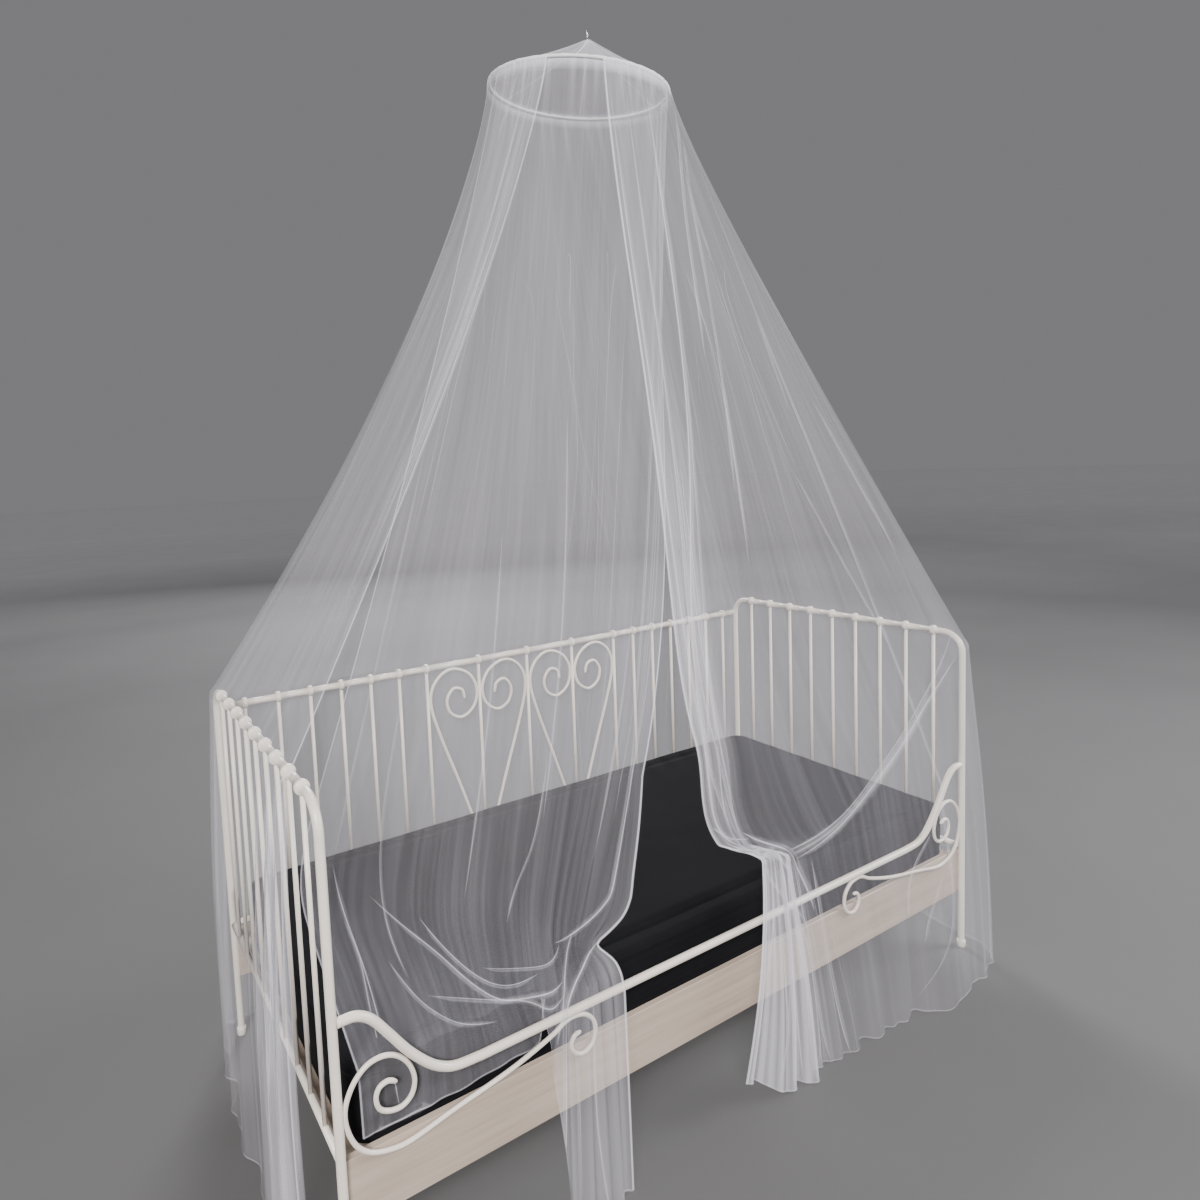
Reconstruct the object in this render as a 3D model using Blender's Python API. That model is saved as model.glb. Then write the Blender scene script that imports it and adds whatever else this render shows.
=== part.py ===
"""Mosquito net canopy hung over a tubular daybed.

Metres, +Z up, X along the bed, -Y the open front. The floor is z = 0.
Bed first, then the hoop with its roof, then the two hung net panels.
"""
import bpy
import bmesh
import math
import mathutils
import numpy as np

# ---- driving sizes ----
POST_X = 1.02          # end frames, tube centre
POST_Y = 0.47          # posts, tube centre
END_TOP = 1.02         # height of the end rails
BACK_TOP = 0.965       # height of the back rail
TUBE_R = 0.0095
COLLAR_R = 0.0145
COLLAR_HALF = 0.007
BEND_R = 0.06
WIRE_R = 0.005         # scrolls
SPINDLE_R = 0.0052
FOOT_R = 0.013
FOOT_H = 0.022
LOW_BAR_Z = 0.334      # lower bars of the grilles
GAP = 0.00035          # between pieces that touch
FLAT = math.cos(math.pi / 8)   # flats of the eight-sided tubes, as a share of their radius

HOOP_C = (-0.009, 0.042, 2.647)
HOOP_R = 0.25
HOOP_TILT = (-0.034, 0.168)   # rise of the hoop plane along X and along Y
APEX = (0.018, 0.026, 2.779)
CORE_R = 0.0022
SLEEVE_R = 0.0042

CLOTH = 0.0015         # net thickness
NET_R = HOOP_R + 0.0047    # main panel's top edge, outside the sleeve
INNER_R = HOOP_R - 0.0022  # front-left panel's top edge, under the sleeve's slit
NET_DROP = 0.0026      # its height below the hoop's centre line
INNER_DROP = 0.0044
RAIL_CLEAR = 0.0178    # net's middle surface from a rail's centre

# ---- scene ----
for old in list(bpy.data.objects):
    bpy.data.objects.remove(old, do_unlink=True)
parts = bpy.data.collections.new("mosquito_net_canopy")
bpy.context.scene.collection.children.link(parts)
cutters = bpy.data.collections.new("joining_helpers")
bpy.context.scene.collection.children.link(cutters)


def material(name, color, metallic, roughness):
    mat = bpy.data.materials.new(name)
    mat.use_nodes = True
    shader = mat.node_tree.nodes["Principled BSDF"]
    shader.inputs["Base Color"].default_value = (*color, 1.0)
    shader.inputs["Metallic"].default_value = metallic
    shader.inputs["Roughness"].default_value = roughness
    return mat


def add_object(name, verts, faces, mat, smooth=True, where=parts):
    mesh = bpy.data.meshes.new(name)
    mesh.from_pydata([tuple(v) for v in verts], [], [tuple(f) for f in faces])
    mesh.update()
    work = bmesh.new()
    work.from_mesh(mesh)
    bmesh.ops.recalc_face_normals(work, faces=work.faces)
    work.to_mesh(mesh)
    work.free()
    for poly in mesh.polygons:
        poly.use_smooth = smooth
    obj = bpy.data.objects.new(name, mesh)
    where.objects.link(obj)
    mesh.materials.append(mat)
    return obj


def tube(path, radii, sides, side_dir, closed=False):
    """Round tube along a path that lies in the plane square to side_dir."""
    path = np.asarray(path, float)
    radii = np.broadcast_to(np.asarray(radii, float), (len(path),))
    if closed:
        tangent = np.roll(path, -1, axis=0) - np.roll(path, 1, axis=0)
    else:
        tangent = np.gradient(path, axis=0)
    # a step in radius repeats a path point, so its direction is taken from its neighbours
    for i in range(len(path)):
        if np.linalg.norm(tangent[i]) < 1e-9:
            tangent[i] = tangent[i - 1]
    tangent /= np.linalg.norm(tangent, axis=1)[:, None]
    first = np.broadcast_to(np.asarray(side_dir, float), path.shape)
    second = np.cross(tangent, first)
    second /= np.linalg.norm(second, axis=1)[:, None]
    turn = np.arange(sides) * 2 * math.pi / sides + math.pi / sides
    ring = np.cos(turn)[None, :, None] * first[:, None, :] + np.sin(turn)[None, :, None] * second[:, None, :]
    verts = (path[:, None, :] + radii[:, None, None] * ring).reshape(-1, 3)
    count = len(path)
    faces = []
    for i in range(count if closed else count - 1):
        j = (i + 1) % count
        for k in range(sides):
            m = (k + 1) % sides
            faces.append((i * sides + k, i * sides + m, j * sides + m, j * sides + k))
    if not closed:
        faces.append(tuple(range(sides))[::-1])
        faces.append(tuple(range((count - 1) * sides, count * sides)))
    return verts, faces


def smooth_curve(points, per_span):
    """Catmull-Rom curve through the points."""
    pts = np.asarray(points, float)
    ext = np.vstack([2 * pts[0] - pts[1], pts, 2 * pts[-1] - pts[-2]])
    out = []
    for i in range(len(pts) - 1):
        a, b, c, d = ext[i], ext[i + 1], ext[i + 2], ext[i + 3]
        for t in np.arange(per_span) / per_span:
            out.append(0.5 * (2 * b + (c - a) * t + (2 * a - 5 * b + 4 * c - d) * t * t
                              + (3 * b - a - 3 * c + d) * t ** 3))
    out.append(pts[-1])
    return np.array(out)


def join_all(name, pieces, mat):
    """One body out of several crossing pieces."""
    base = pieces[0]
    for other in pieces[1:]:
        mod = base.modifiers.new("join", "BOOLEAN")
        mod.operation = "UNION"
        mod.solver = "EXACT"
        mod.object = other
        other.hide_render = True
        other.display_type = "WIRE"
    deps = bpy.context.evaluated_depsgraph_get()
    mesh = bpy.data.meshes.new_from_object(base.evaluated_get(deps))
    work = bmesh.new()
    work.from_mesh(mesh)
    bmesh.ops.remove_doubles(work, verts=work.verts, dist=0.00002)
    bmesh.ops.recalc_face_normals(work, faces=work.faces)
    work.to_mesh(mesh)
    work.free()
    for piece in pieces:
        bpy.data.objects.remove(piece, do_unlink=True)
    obj = bpy.data.objects.new(name, mesh)
    parts.objects.link(obj)
    mesh.materials.clear()
    mesh.materials.append(mat)
    return obj


def box(name, low, high, mat, bevel=0.0, segments=2):
    work = bmesh.new()
    bmesh.ops.create_cube(work, size=1.0)
    low, high = np.array(low), np.array(high)
    for v in work.verts:
        v.co = low + (np.array(v.co) + 0.5) * (high - low)
    if bevel:
        bmesh.ops.bevel(work, geom=work.edges[:], offset=bevel, segments=segments, affect="EDGES", profile=0.5)
    bmesh.ops.recalc_face_normals(work, faces=work.faces)
    mesh = bpy.data.meshes.new(name)
    work.to_mesh(mesh)
    work.free()
    for poly in mesh.polygons:
        poly.use_smooth = bevel > 0
    obj = bpy.data.objects.new(name, mesh)
    parts.objects.link(obj)
    mesh.materials.append(mat)
    return obj


paint = material("ivory_paint", (0.80, 0.75, 0.69), 0.1, 0.4)
wood = material("ivory_board", (0.72, 0.64, 0.57), 0.0, 0.5)
cover = material("mattress_cover", (0.035, 0.035, 0.042), 0.0, 0.9)
steel = material("plated_wire", (0.70, 0.70, 0.72), 1.0, 0.3)
tape = material("white_tape", (0.90, 0.89, 0.90), 0.0, 0.8)
net = material("white_net", (0.88, 0.86, 0.90), 0.0, 0.9)

# ---- end frames: one bent tube each, with a collar over every spindle ----
COLLAR_Y = [POST_Y - 0.0876 - 0.0949 * k for k in range(9)]
for side, end_x in (("left", -POST_X), ("right", POST_X)):
    yz = [(-POST_Y, 0.0, FOOT_R), (-POST_Y, FOOT_H, FOOT_R), (-POST_Y, FOOT_H + 0.002, TUBE_R),
          (-POST_Y, END_TOP - BEND_R, TUBE_R)]
    for deg in (22, 45, 68, 90):
        a = math.radians(deg)
        yz.append((-POST_Y + BEND_R - BEND_R * math.cos(a), END_TOP - BEND_R + BEND_R * math.sin(a), TUBE_R))
    for y in COLLAR_Y[::-1]:
        yz.append((y - COLLAR_HALF, END_TOP, TUBE_R))
        yz.append((y - COLLAR_HALF + 0.002, END_TOP, COLLAR_R))
        yz.append((y + COLLAR_HALF - 0.002, END_TOP, COLLAR_R))
        yz.append((y + COLLAR_HALF, END_TOP, TUBE_R))
    for deg in (90, 68, 45, 22, 0):
        a = math.radians(deg)
        yz.append((POST_Y - BEND_R + BEND_R * math.cos(a), END_TOP - BEND_R + BEND_R * math.sin(a), TUBE_R))
    yz += [(POST_Y, FOOT_H + 0.002, TUBE_R), (POST_Y, FOOT_H, FOOT_R), (POST_Y, 0.0, FOOT_R)]
    verts, faces = tube([(end_x, y, z) for y, z, r in yz], [r for y, z, r in yz], 8, (1, 0, 0))
    add_object("end_frame_" + side, verts, faces, paint)


def grille(name, low_bar, spindle_tops):
    """Spindles standing on one lower bar, joined into a body."""
    start, stop = (np.array(p, float) for p in low_bar)
    across = np.cross(stop - start, (0, 0, 1))
    across /= np.linalg.norm(across)
    verts, faces = tube([start, stop], 0.0075, 8, across)
    pieces = [add_object(name + "_bar", verts, faces, paint, where=cutters)]
    for i, (x, y, top) in enumerate(spindle_tops):
        verts, faces = tube([(x, y, start[2] - 0.001), (x, y, top)], SPINDLE_R, 6, across)
        pieces.append(add_object(name + "_rod%d" % i, verts, faces, paint, where=cutters))
    return join_all(name, pieces, paint)


for side, end_x in (("left", -POST_X), ("right", POST_X)):
    reach = POST_Y - TUBE_R * FLAT - GAP
    tops = [(end_x, y, END_TOP - COLLAR_R * FLAT - GAP) for y in COLLAR_Y]
    grille("end_grille_" + side, [(end_x, -reach, LOW_BAR_Z), (end_x, reach, LOW_BAR_Z)], tops)

# ---- back rail and its grille: four wide bays in the middle carry the hearts ----
NARROW, WIDE = 0.0941, 0.190
BACK_X = [-2 * WIDE - NARROW * k for k in range(6, 0, -1)] + [WIDE * k for k in range(-2, 3)]
BACK_X += [2 * WIDE + NARROW * k for k in range(1, 7)]
back_end = POST_X - TUBE_R * FLAT - GAP
xr = [(-back_end, TUBE_R)]
for x in BACK_X:
    xr += [(x - COLLAR_HALF, TUBE_R), (x - COLLAR_HALF + 0.002, COLLAR_R)]
    xr += [(x + COLLAR_HALF - 0.002, COLLAR_R), (x + COLLAR_HALF, TUBE_R)]
xr.append((back_end, TUBE_R))
verts, faces = tube([(x, POST_Y, BACK_TOP) for x, r in xr], [r for x, r in xr], 8, (0, 1, 0))
add_object("back_rail", verts, faces, paint)
grille("back_grille", [(-back_end, POST_Y, LOW_BAR_Z), (back_end, POST_Y, LOW_BAR_Z)],
       [(x, POST_Y, BACK_TOP - COLLAR_R * FLAT - GAP) for x in BACK_X])

# ---- heart scrolls: x from the heart's middle spindle, z from the floor ----
HEART = [
    (-0.0108, 0.345), (-0.040, 0.412), (-0.090, 0.560), (-0.150, 0.730), (-0.1790, 0.838),
    (-0.1700, 0.900), (-0.132, 0.940), (-0.085, 0.947), (-0.035, 0.920), (-0.0106, 0.868),
    (-0.024, 0.812), (-0.068, 0.783), (-0.110, 0.803), (-0.122, 0.848), (-0.098, 0.882),
    (-0.066, 0.874), (-0.056, 0.842),
]
for i, (middle, mirror) in enumerate(((-WIDE, 1), (-WIDE, -1), (WIDE, 1), (WIDE, -1)), start=1):
    curve = smooth_curve([(middle + mirror * x, POST_Y, z) for x, z in HEART], 2)
    verts, faces = tube(curve, WIRE_R, 6, (0, 1, 0))
    add_object("heart_scroll_%d" % i, verts, faces, paint)

# ---- front rail: distance from the post's centre, height ----
FRONT_RISE = [
    (0.00915, 0.604), (0.045, 0.602), (0.075, 0.583), (0.107, 0.541), (0.144, 0.490),
    (0.182, 0.449), (0.212, 0.427), (0.245, 0.415), (0.300, 0.411),
]
left_rise = [(-POST_X + d, -POST_Y, z) for d, z in FRONT_RISE]
right_rise = [(POST_X - d, -POST_Y, z) for d, z in FRONT_RISE[::-1]]
rail_path = np.vstack([smooth_curve(left_rise, 2), smooth_curve(right_rise, 2)])
verts, faces = tube(rail_path, TUBE_R, 8, (0, 1, 0))
add_object("front_rail", verts, faces, paint)

# ---- front scrolls: distance in from the post's centre, height ----
FRONT_SCROLL = [
    (0.117, 0.440), (0.100, 0.449), (0.082, 0.444), (0.074, 0.426), (0.079, 0.403), (0.098, 0.389),
    (0.125, 0.386), (0.146, 0.401), (0.153, 0.430), (0.143, 0.464), (0.121, 0.490), (0.094, 0.502),
    (0.062, 0.499), (0.034, 0.476), (0.0155, 0.438), (0.0142, 0.400), (0.029, 0.355), (0.056, 0.326),
    (0.095, 0.311), (0.141, 0.308), (0.235, 0.326), (0.364, 0.348), (0.465, 0.376), (0.506, 0.3945),
    (0.535, 0.3968), (0.562, 0.388), (0.582, 0.365), (0.585, 0.335), (0.572, 0.311), (0.548, 0.303),
    (0.528, 0.314), (0.520, 0.335), (0.529, 0.352), (0.546, 0.356),
]
for side, sign in (("left", -1), ("right", 1)):
    curve = [(sign * (POST_X - d), -POST_Y, z) for d, z in FRONT_SCROLL]
    verts, faces = tube(curve, WIRE_R, 6, (0, 1, 0))
    add_object("front_scroll_" + side, verts, faces, paint)

# ---- boards, base and mattress ----
BOARD_X = POST_X - 0.0057
box("front_board", (-BOARD_X, -0.4635, 0.185), (BOARD_X, -0.4475, 0.324), wood, 0.001, 1)
box("back_board", (-BOARD_X, 0.4475, 0.185), (BOARD_X, 0.4635, 0.324), wood, 0.001, 1)
box("bed_base", (-1.000, -0.4471, 0.283), (1.000, 0.4471, 0.305), wood)
box("mattress", (-0.990, -0.4445, 0.3054), (0.990, 0.4445, 0.470), cover, 0.03, 3)


def hoop_point(deg, radius, lift=0.0):
    a = math.radians(deg)
    dx, dy = radius * math.cos(a), radius * math.sin(a)
    return np.array([HOOP_C[0] + dx, HOOP_C[1] + dy,
                     HOOP_C[2] + HOOP_TILT[0] * dx + HOOP_TILT[1] * dy + lift])


# ---- hoop and the tape sleeve stitched round it, open along its lower side ----
HOOP_STEPS = 32
plane_normal = np.array([-HOOP_TILT[0], -HOOP_TILT[1], 1.0])
plane_normal /= np.linalg.norm(plane_normal)
ring_path = [hoop_point(360 * i / HOOP_STEPS, HOOP_R) for i in range(HOOP_STEPS)]
verts, faces = tube(ring_path, CORE_R, 5, plane_normal, closed=True)
add_object("hoop", verts, faces, steel)

SLIT = math.radians(24)
section = []
for step in range(6):
    a = -math.pi / 2 + SLIT + step * (2 * math.pi - 2 * SLIT) / 5
    section.append((SLEEVE_R * math.cos(a), SLEEVE_R * math.sin(a)))
for step in range(5, -1, -1):
    a = -math.pi / 2 + SLIT + step * (2 * math.pi - 2 * SLIT) / 5
    section.append(((CORE_R + 0.0007) * math.cos(a), (CORE_R + 0.0007) * math.sin(a)))
sleeve_verts, sleeve_faces = [], []
for i in range(HOOP_STEPS):
    for out, up in section:
        sleeve_verts.append(hoop_point(360 * i / HOOP_STEPS, HOOP_R + out, up))
width = len(section)
for i in range(HOOP_STEPS):
    j = (i + 1) % HOOP_STEPS
    for k in range(width):
        m = (k + 1) % width
        sleeve_faces.append((i * width + k, i * width + m, j * width + m, j * width + k))
add_object("hoop_sleeve", sleeve_verts, sleeve_faces, tape)


def sheet_solid(name, grid, mat, thickness=CLOTH, wrap=False, capped=False):
    """Closed solid of even thickness about a grid of middle-surface points."""
    grid = np.asarray(grid, float)
    cols, rows = grid.shape[:2]
    if wrap:
        du = np.roll(grid, -1, axis=0) - np.roll(grid, 1, axis=0)
    else:
        du = np.gradient(grid, axis=0)
    dv = np.gradient(grid, axis=1)
    normal = np.cross(du, dv)
    normal /= np.maximum(np.linalg.norm(normal, axis=2), 1e-12)[..., None]
    verts = np.concatenate([(grid + normal * thickness / 2).reshape(-1, 3),
                            (grid - normal * thickness / 2).reshape(-1, 3)])
    back = cols * rows
    faces = []
    for i in range(cols if wrap else cols - 1):
        j = (i + 1) % cols
        for k in range(rows - 1):
            a, b, c, d = i * rows + k, j * rows + k, j * rows + k + 1, i * rows + k + 1
            # both sides are cut along the same diagonal, so they never cross where a fold twists
            faces += [(a, b, c), (a, c, d)]
            faces += [(back + c, back + b, back + a), (back + d, back + c, back + a)]
        for k in (0,) if capped else (0, rows - 1):
            a, b = i * rows + k, j * rows + k
            faces.append((a, b, back + b, back + a))
    if not wrap:
        for i in (0, cols - 1):
            for k in range(rows - 1):
                a, b = i * rows + k, i * rows + k + 1
                faces.append((a, b, back + b, back + a))
    if capped:
        faces.append([i * rows + rows - 1 for i in range(cols)])
        faces.append([back + i * rows + rows - 1 for i in range(cols)][::-1])
    return add_object(name, verts, faces, mat)


# ---- roof: six gores that sag a little between their seams ----
ROOF_COLS, ROOF_ROWS = 32, 4
ROOF_SINK = 0.0003     # the sleeve is faceted, so the roof sits a little below its full radius
roof = np.zeros((ROOF_COLS, ROOF_ROWS, 3))
for i in range(ROOF_COLS):
    deg = 360 * i / ROOF_COLS
    rim = hoop_point(deg, HOOP_R - 0.001, SLEEVE_R + CLOTH / 2 - ROOF_SINK)
    tip = np.array(APEX) + 0.0055 * np.array([math.cos(math.radians(deg)), math.sin(math.radians(deg)), 0.0])
    for k in range(ROOF_ROWS):
        t = k / (ROOF_ROWS - 1)
        sag = 0.010 * math.sin(math.pi * t) * (0.4 + 0.6 * math.sin(math.radians(3 * deg)) ** 2)
        roof[i, k] = rim + (tip - rim) * t - np.array([0, 0, sag])
sheet_solid("roof", roof, net, wrap=True, capped=True)

# ---- hanging ring through a short tab at the tip ----
TAB_W, TAB_T = 0.005, 0.0012
VIEW = math.radians(53.4)
ring_dir = np.array([math.cos(VIEW), math.sin(VIEW), 0.0])
ring_side = np.array([-math.sin(VIEW), math.cos(VIEW), 0.0])
ring_c = np.array(APEX) + np.array([0, 0, 0.0155])
RING_R, RING_WIRE = 0.0105, 0.0012
circle = [ring_c + RING_R * (math.cos(a) * ring_dir + math.sin(a) * np.array([0, 0, 1.0]))
          for a in np.arange(16) * 2 * math.pi / 16]
verts, faces = tube(circle, RING_WIRE, 6, ring_side, closed=True)
add_object("hanging_ring", verts, faces, steel)

tab_line = []
base_z = APEX[2] + CLOTH / 2 + GAP
top_z = ring_c[2] - RING_R + RING_WIRE + 0.001 + TAB_T / 2
for side_step, z in ((-0.0030, base_z), (-0.0030, top_z - 0.0022), (-0.0022, top_z - 0.0006), (0.0, top_z),
                     (0.0022, top_z - 0.0006), (0.0030, top_z - 0.0022), (0.0030, base_z)):
    tab_line.append(np.array([APEX[0], APEX[1], 0.0]) + side_step * ring_side + np.array([0, 0, z]))
tab_grid = np.array([[p + w * ring_dir for p in tab_line] for w in (-TAB_W / 2, TAB_W / 2)])
sheet_solid("ring_tab", tab_grid, tape, TAB_T)

# ---- main net panel ----
# hoop: angle on the hoop; rail_x, rail_y, rail_z: what it hangs over; out: facing there;
# foot_x, foot_y, foot_z: its hem; pleat: fold depth; puff, sway: swell and swing between hoop and
# rail; flare: 1 is a straight fall; steps: columns up to the next row
MAIN = [
    # hoop  rail_x  rail_y  rail_z  out   foot_x  foot_y  foot_z pleat  puff   sway  flare steps
    (216.0, -1.020, -0.345, 1.020, 180, -1.075, -0.500, 0.003, 0.012, 0.012, 0.00, 1.24, 2),
    (213.0, -1.020, -0.290, 1.020, 180, -1.110, -0.420, 0.003, 0.016, 0.010, 0.00, 1.28, 3),
    (208.0, -1.020, -0.200, 1.020, 180, -1.085, -0.290, 0.003, 0.016, 0.008, 0.00, 1.32, 3),
    (200.0, -1.020, -0.060, 1.020, 180, -1.085, -0.100, 0.003, 0.012, 0.004, 0.00, 1.35, 3),
    (188.0, -1.020, 0.130, 1.020, 180, -1.095, 0.100, 0.003, 0.010, 0.000, 0.00, 1.36, 3),
    (172.0, -1.020, 0.330, 1.020, 180, -1.075, 0.330, 0.003, 0.008, 0.000, 0.00, 1.36, 2),
    (160.0, -1.020, 0.430, 1.018, 172, -1.065, 0.450, 0.003, 0.006, 0.000, 0.00, 1.36, 2),
    (152.0, -1.020, 0.470, 0.985, 135, -1.050, 0.520, 0.003, 0.003, 0.000, 0.00, 1.36, 2),
    (142.0, -0.960, 0.470, 0.966, 92, -0.960, 0.535, 0.003, 0.006, 0.000, 0.00, 1.24, 2),
    (120.0, -0.640, 0.470, 0.965, 90, -0.640, 0.545, 0.003, 0.014, 0.000, 0.00, 1.20, 4),
    (90.0, 0.000, 0.470, 0.965, 90, 0.000, 0.545, 0.003, 0.016, 0.000, 0.00, 1.15, 4),
    (60.0, 0.640, 0.470, 0.965, 90, 0.640, 0.545, 0.003, 0.014, 0.000, 0.00, 1.15, 3),
    (38.0, 0.960, 0.470, 0.966, 88, 0.960, 0.535, 0.003, 0.006, 0.000, 0.00, 1.15, 2),
    (28.0, 1.020, 0.470, 0.985, 45, 1.050, 0.520, 0.003, 0.003, 0.000, 0.00, 1.15, 2),
    (20.0, 1.020, 0.430, 1.018, 8, 1.065, 0.450, 0.003, 0.006, 0.000, 0.00, 1.12, 2),
    (0.0, 1.020, 0.100, 1.020, 0, 1.080, 0.110, 0.003, 0.010, 0.004, 0.00, 1.10, 3),
    (-22.0, 1.020, -0.280, 1.020, 0, 1.080, -0.300, 0.003, 0.008, 0.008, 0.00, 1.08, 2),
    (-32.0, 1.020, -0.430, 1.018, -8, 1.070, -0.490, 0.003, 0.004, 0.008, 0.00, 1.10, 2),
    (-38.0, 1.020, -0.470, 0.980, -50, 1.030, -0.560, 0.003, 0.004, 0.008, 0.00, 1.11, 2),
    (-46.0, 0.930, -0.474, 0.955, -88, 0.920, -0.585, 0.003, 0.010, 0.010, 0.00, 1.12, 3),
    (-59.0, 0.740, -0.476, 0.790, -90, 0.740, -0.610, 0.003, 0.014, 0.014, 0.00, 1.14, 3),
    (-72.0, 0.520, -0.476, 0.635, -90, 0.560, -0.560, 0.003, 0.016, 0.018, -0.03, 1.18, 3),
    (-84.0, 0.340, -0.476, 0.570, -90, 0.400, -0.555, 0.003, 0.014, 0.020, -0.055, 1.22, 3),
    (-94.0, 0.215, -0.474, 0.558, -90, 0.270, -0.550, 0.003, 0.012, 0.020, -0.10, 1.30, 3),
    (-103.0, 0.150, -0.472, 0.562, -90, 0.120, -0.555, 0.003, 0.012, 0.020, -0.115, 1.42, 3),
    (-111.5, 0.080, -0.470, 0.575, -90, -0.055, -0.535, 0.090, 0.008, 0.020, -0.11, 1.50, 0),
]
BELLY = 0.015          # swell between rail and floor


def refine(table):
    """A table's rows with even steps between them, and each step's own count."""
    rows = np.array([row[:-1] for row in table], float)
    out = []
    for i in range(len(rows) - 1):
        for t in np.arange(table[i][-1]) / table[i][-1]:
            out.append(rows[i] + (rows[i + 1] - rows[i]) * t)
    out.append(rows[-1])
    return np.array(out)


def main_grid(above, below):
    """Each column falls from the hoop, rolls over its rail and drops to its foot."""
    grid = []
    for i, row in enumerate(refine(MAIN)):
        deg, out_deg, pleat, puff, sway, flare = row[0], row[4], row[8], row[9], row[10], row[11]
        rail, foot = row[1:4], row[5:8]
        a, o = math.radians(deg), math.radians(out_deg)
        start = hoop_point(deg, NET_R, -NET_DROP)
        out = np.array([math.cos(o), math.sin(o), 0.0])
        around = np.array([math.cos(a), math.sin(a), 0.0])
        wave = math.cos(math.pi * i) + 0.35 * math.cos(1.7 * i + 0.6)
        lip = [rail + RAIL_CLEAR * (math.cos(e) * out + math.sin(e) * np.array([0, 0, 1.0]))
               for e in np.radians((36.0, 12.0, -10.0))]
        column = []
        for t in np.arange(above) / above:
            p = start + (lip[0] - start) * t
            p[:2] = start[:2] + (lip[0][:2] - start[:2]) * t ** flare
            p += around * (puff * math.sin(math.pi * t) + 1.6 * pleat * wave * t * (1 - t))
            p[0] += sway * math.sin(math.pi * t ** 3.4)
            column.append(p)
        press = 0.35 * pleat * (wave + 1.35)
        column += [p + out * press for p in lip]
        for t in (np.arange(below) + 1) / below:
            p = lip[-1] + (foot - lip[-1]) * t
            p[:2] = lip[-1][:2] + (foot[:2] - lip[-1][:2]) * t ** 1.2
            p += out * (press + pleat * wave * t + BELLY * math.sin(math.pi * t))
            column.append(p)
        grid.append(column)
    return np.array(grid)


sheet_solid("net_main", main_grid(9, 5), net)

# ---- front-left panel, drawn aside: it lies on the mattress and falls over the front rail ----
# hoop: angle on the hoop; knee: where it meets the bed; lip: the bed's edge; end: its hem;
# pleat: fold depth; sway: swing between hoop and knee; steps: columns up to the next row
INNER = [
    # hoop  knee_x  knee_y  knee_z  lip_x   lip_y   lip_z   end_x   end_y  end_z  pleat  sway steps
    (172.0, -0.870, 0.330, 0.4740, -0.955, -0.4510, 0.4775, -0.950, -0.4510, 0.342, 0.002, 0.00, 2),
    (186.0, -0.800, 0.185, 0.4740, -0.890, -0.4510, 0.4775, -0.885, -0.4510, 0.342, 0.002, 0.00, 3),
    (200.0, -0.710, 0.010, 0.486, -0.800, -0.4510, 0.4780, -0.800, -0.4510, 0.342, 0.003, 0.00, 3),
    (216.0, -0.580, -0.115, 0.505, -0.700, -0.4510, 0.4800, -0.705, -0.4510, 0.350, 0.003, 0.00, 3),
    (230.0, -0.470, -0.190, 0.520, -0.605, -0.4510, 0.4860, -0.642, -0.4510, 0.365, 0.003, 0.02, 1),
    (235.0, -0.460, -0.225, 0.519, -0.580, -0.4520, 0.4850, -0.627, -0.4530, 0.450, 0.004, 0.025, 1),
    (240.0, -0.450, -0.260, 0.518, -0.555, -0.440, 0.484, -0.610, -0.494, 0.452, 0.010, 0.03, 2),
    (249.0, -0.450, -0.320, 0.515, -0.535, -0.4740, 0.472, -0.580, -0.525, 0.330, 0.010, 0.05, 2),
    (258.0, -0.450, -0.350, 0.515, -0.520, -0.484, 0.470, -0.562, -0.545, 0.004, 0.010, 0.06, 3),
    (284.0, -0.430, -0.390, 0.520, -0.4740, -0.484, 0.470, -0.520, -0.545, 0.004, 0.012, 0.07, 3),
    (312.0, -0.390, -0.400, 0.530, -0.430, -0.486, 0.470, -0.460, -0.550, 0.004, 0.012, 0.08, 3),
    (340.0, -0.330, -0.410, 0.560, -0.370, -0.486, 0.465, -0.405, -0.540, 0.004, 0.008, 0.095, 0),
]


def inner_grid(above, across, below):
    """Each column falls from the hoop, lies on the bed and ends there or over the front rail."""
    grid = []
    for i, row in enumerate(refine(INNER)):
        deg, pleat, sway = row[0], row[10], row[11]
        knee, lip, foot = row[1:4], row[4:7], row[7:10]
        start = hoop_point(deg, INNER_R, -INNER_DROP)
        a = math.radians(deg)
        around = np.array([math.cos(a), math.sin(a), 0.0])
        wave = math.cos(math.pi * i) + 0.35 * math.cos(1.9 * i)
        lift = 0.5 * pleat * (wave + 1.35)
        column = []
        for t in np.arange(above) / above:
            p = start + (knee - start) * t
            p[:2] = start[:2] + (knee[:2] - start[:2]) * t ** 1.12
            p += around * pleat * wave * 0.9 * t
            p[0] += sway * math.sin(math.pi * t ** 1.8)
            column.append(p)
        for t in np.arange(across) / across:
            column.append(knee + (lip - knee) * t + np.array([0, 0, lift]))
        hangs = foot[2] < 0.4
        for t in np.arange(below + 1) / below:
            p = lip + (foot - lip) * t
            if hangs:
                p[:2] = lip[:2] + (foot[:2] - lip[:2]) * t ** 0.8
                p[1] -= 1.2 * lift
            else:
                p[2] += lift
            column.append(p)
        grid.append(column)
    return np.array(grid)


sheet_solid("net_front_left", inner_grid(9, 2, 6), net)

# ---- set the whole thing on the origin: middle of its box, at the floor ----
corners = np.concatenate([np.array([obj.matrix_world @ v.co for v in obj.data.vertices]) for obj in parts.objects])
middle = (corners.min(axis=0) + corners.max(axis=0)) / 2
shift = mathutils.Matrix.Translation((-middle[0], -middle[1], -corners[:, 2].min()))
for obj in parts.objects:
    obj.data.transform(shift)
    obj.data.update()
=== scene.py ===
"""Mosquito net hung from a hoop over a tube daybed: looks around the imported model, in metres."""
import math

import bpy
import numpy as np
from mathutils import Matrix


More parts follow.
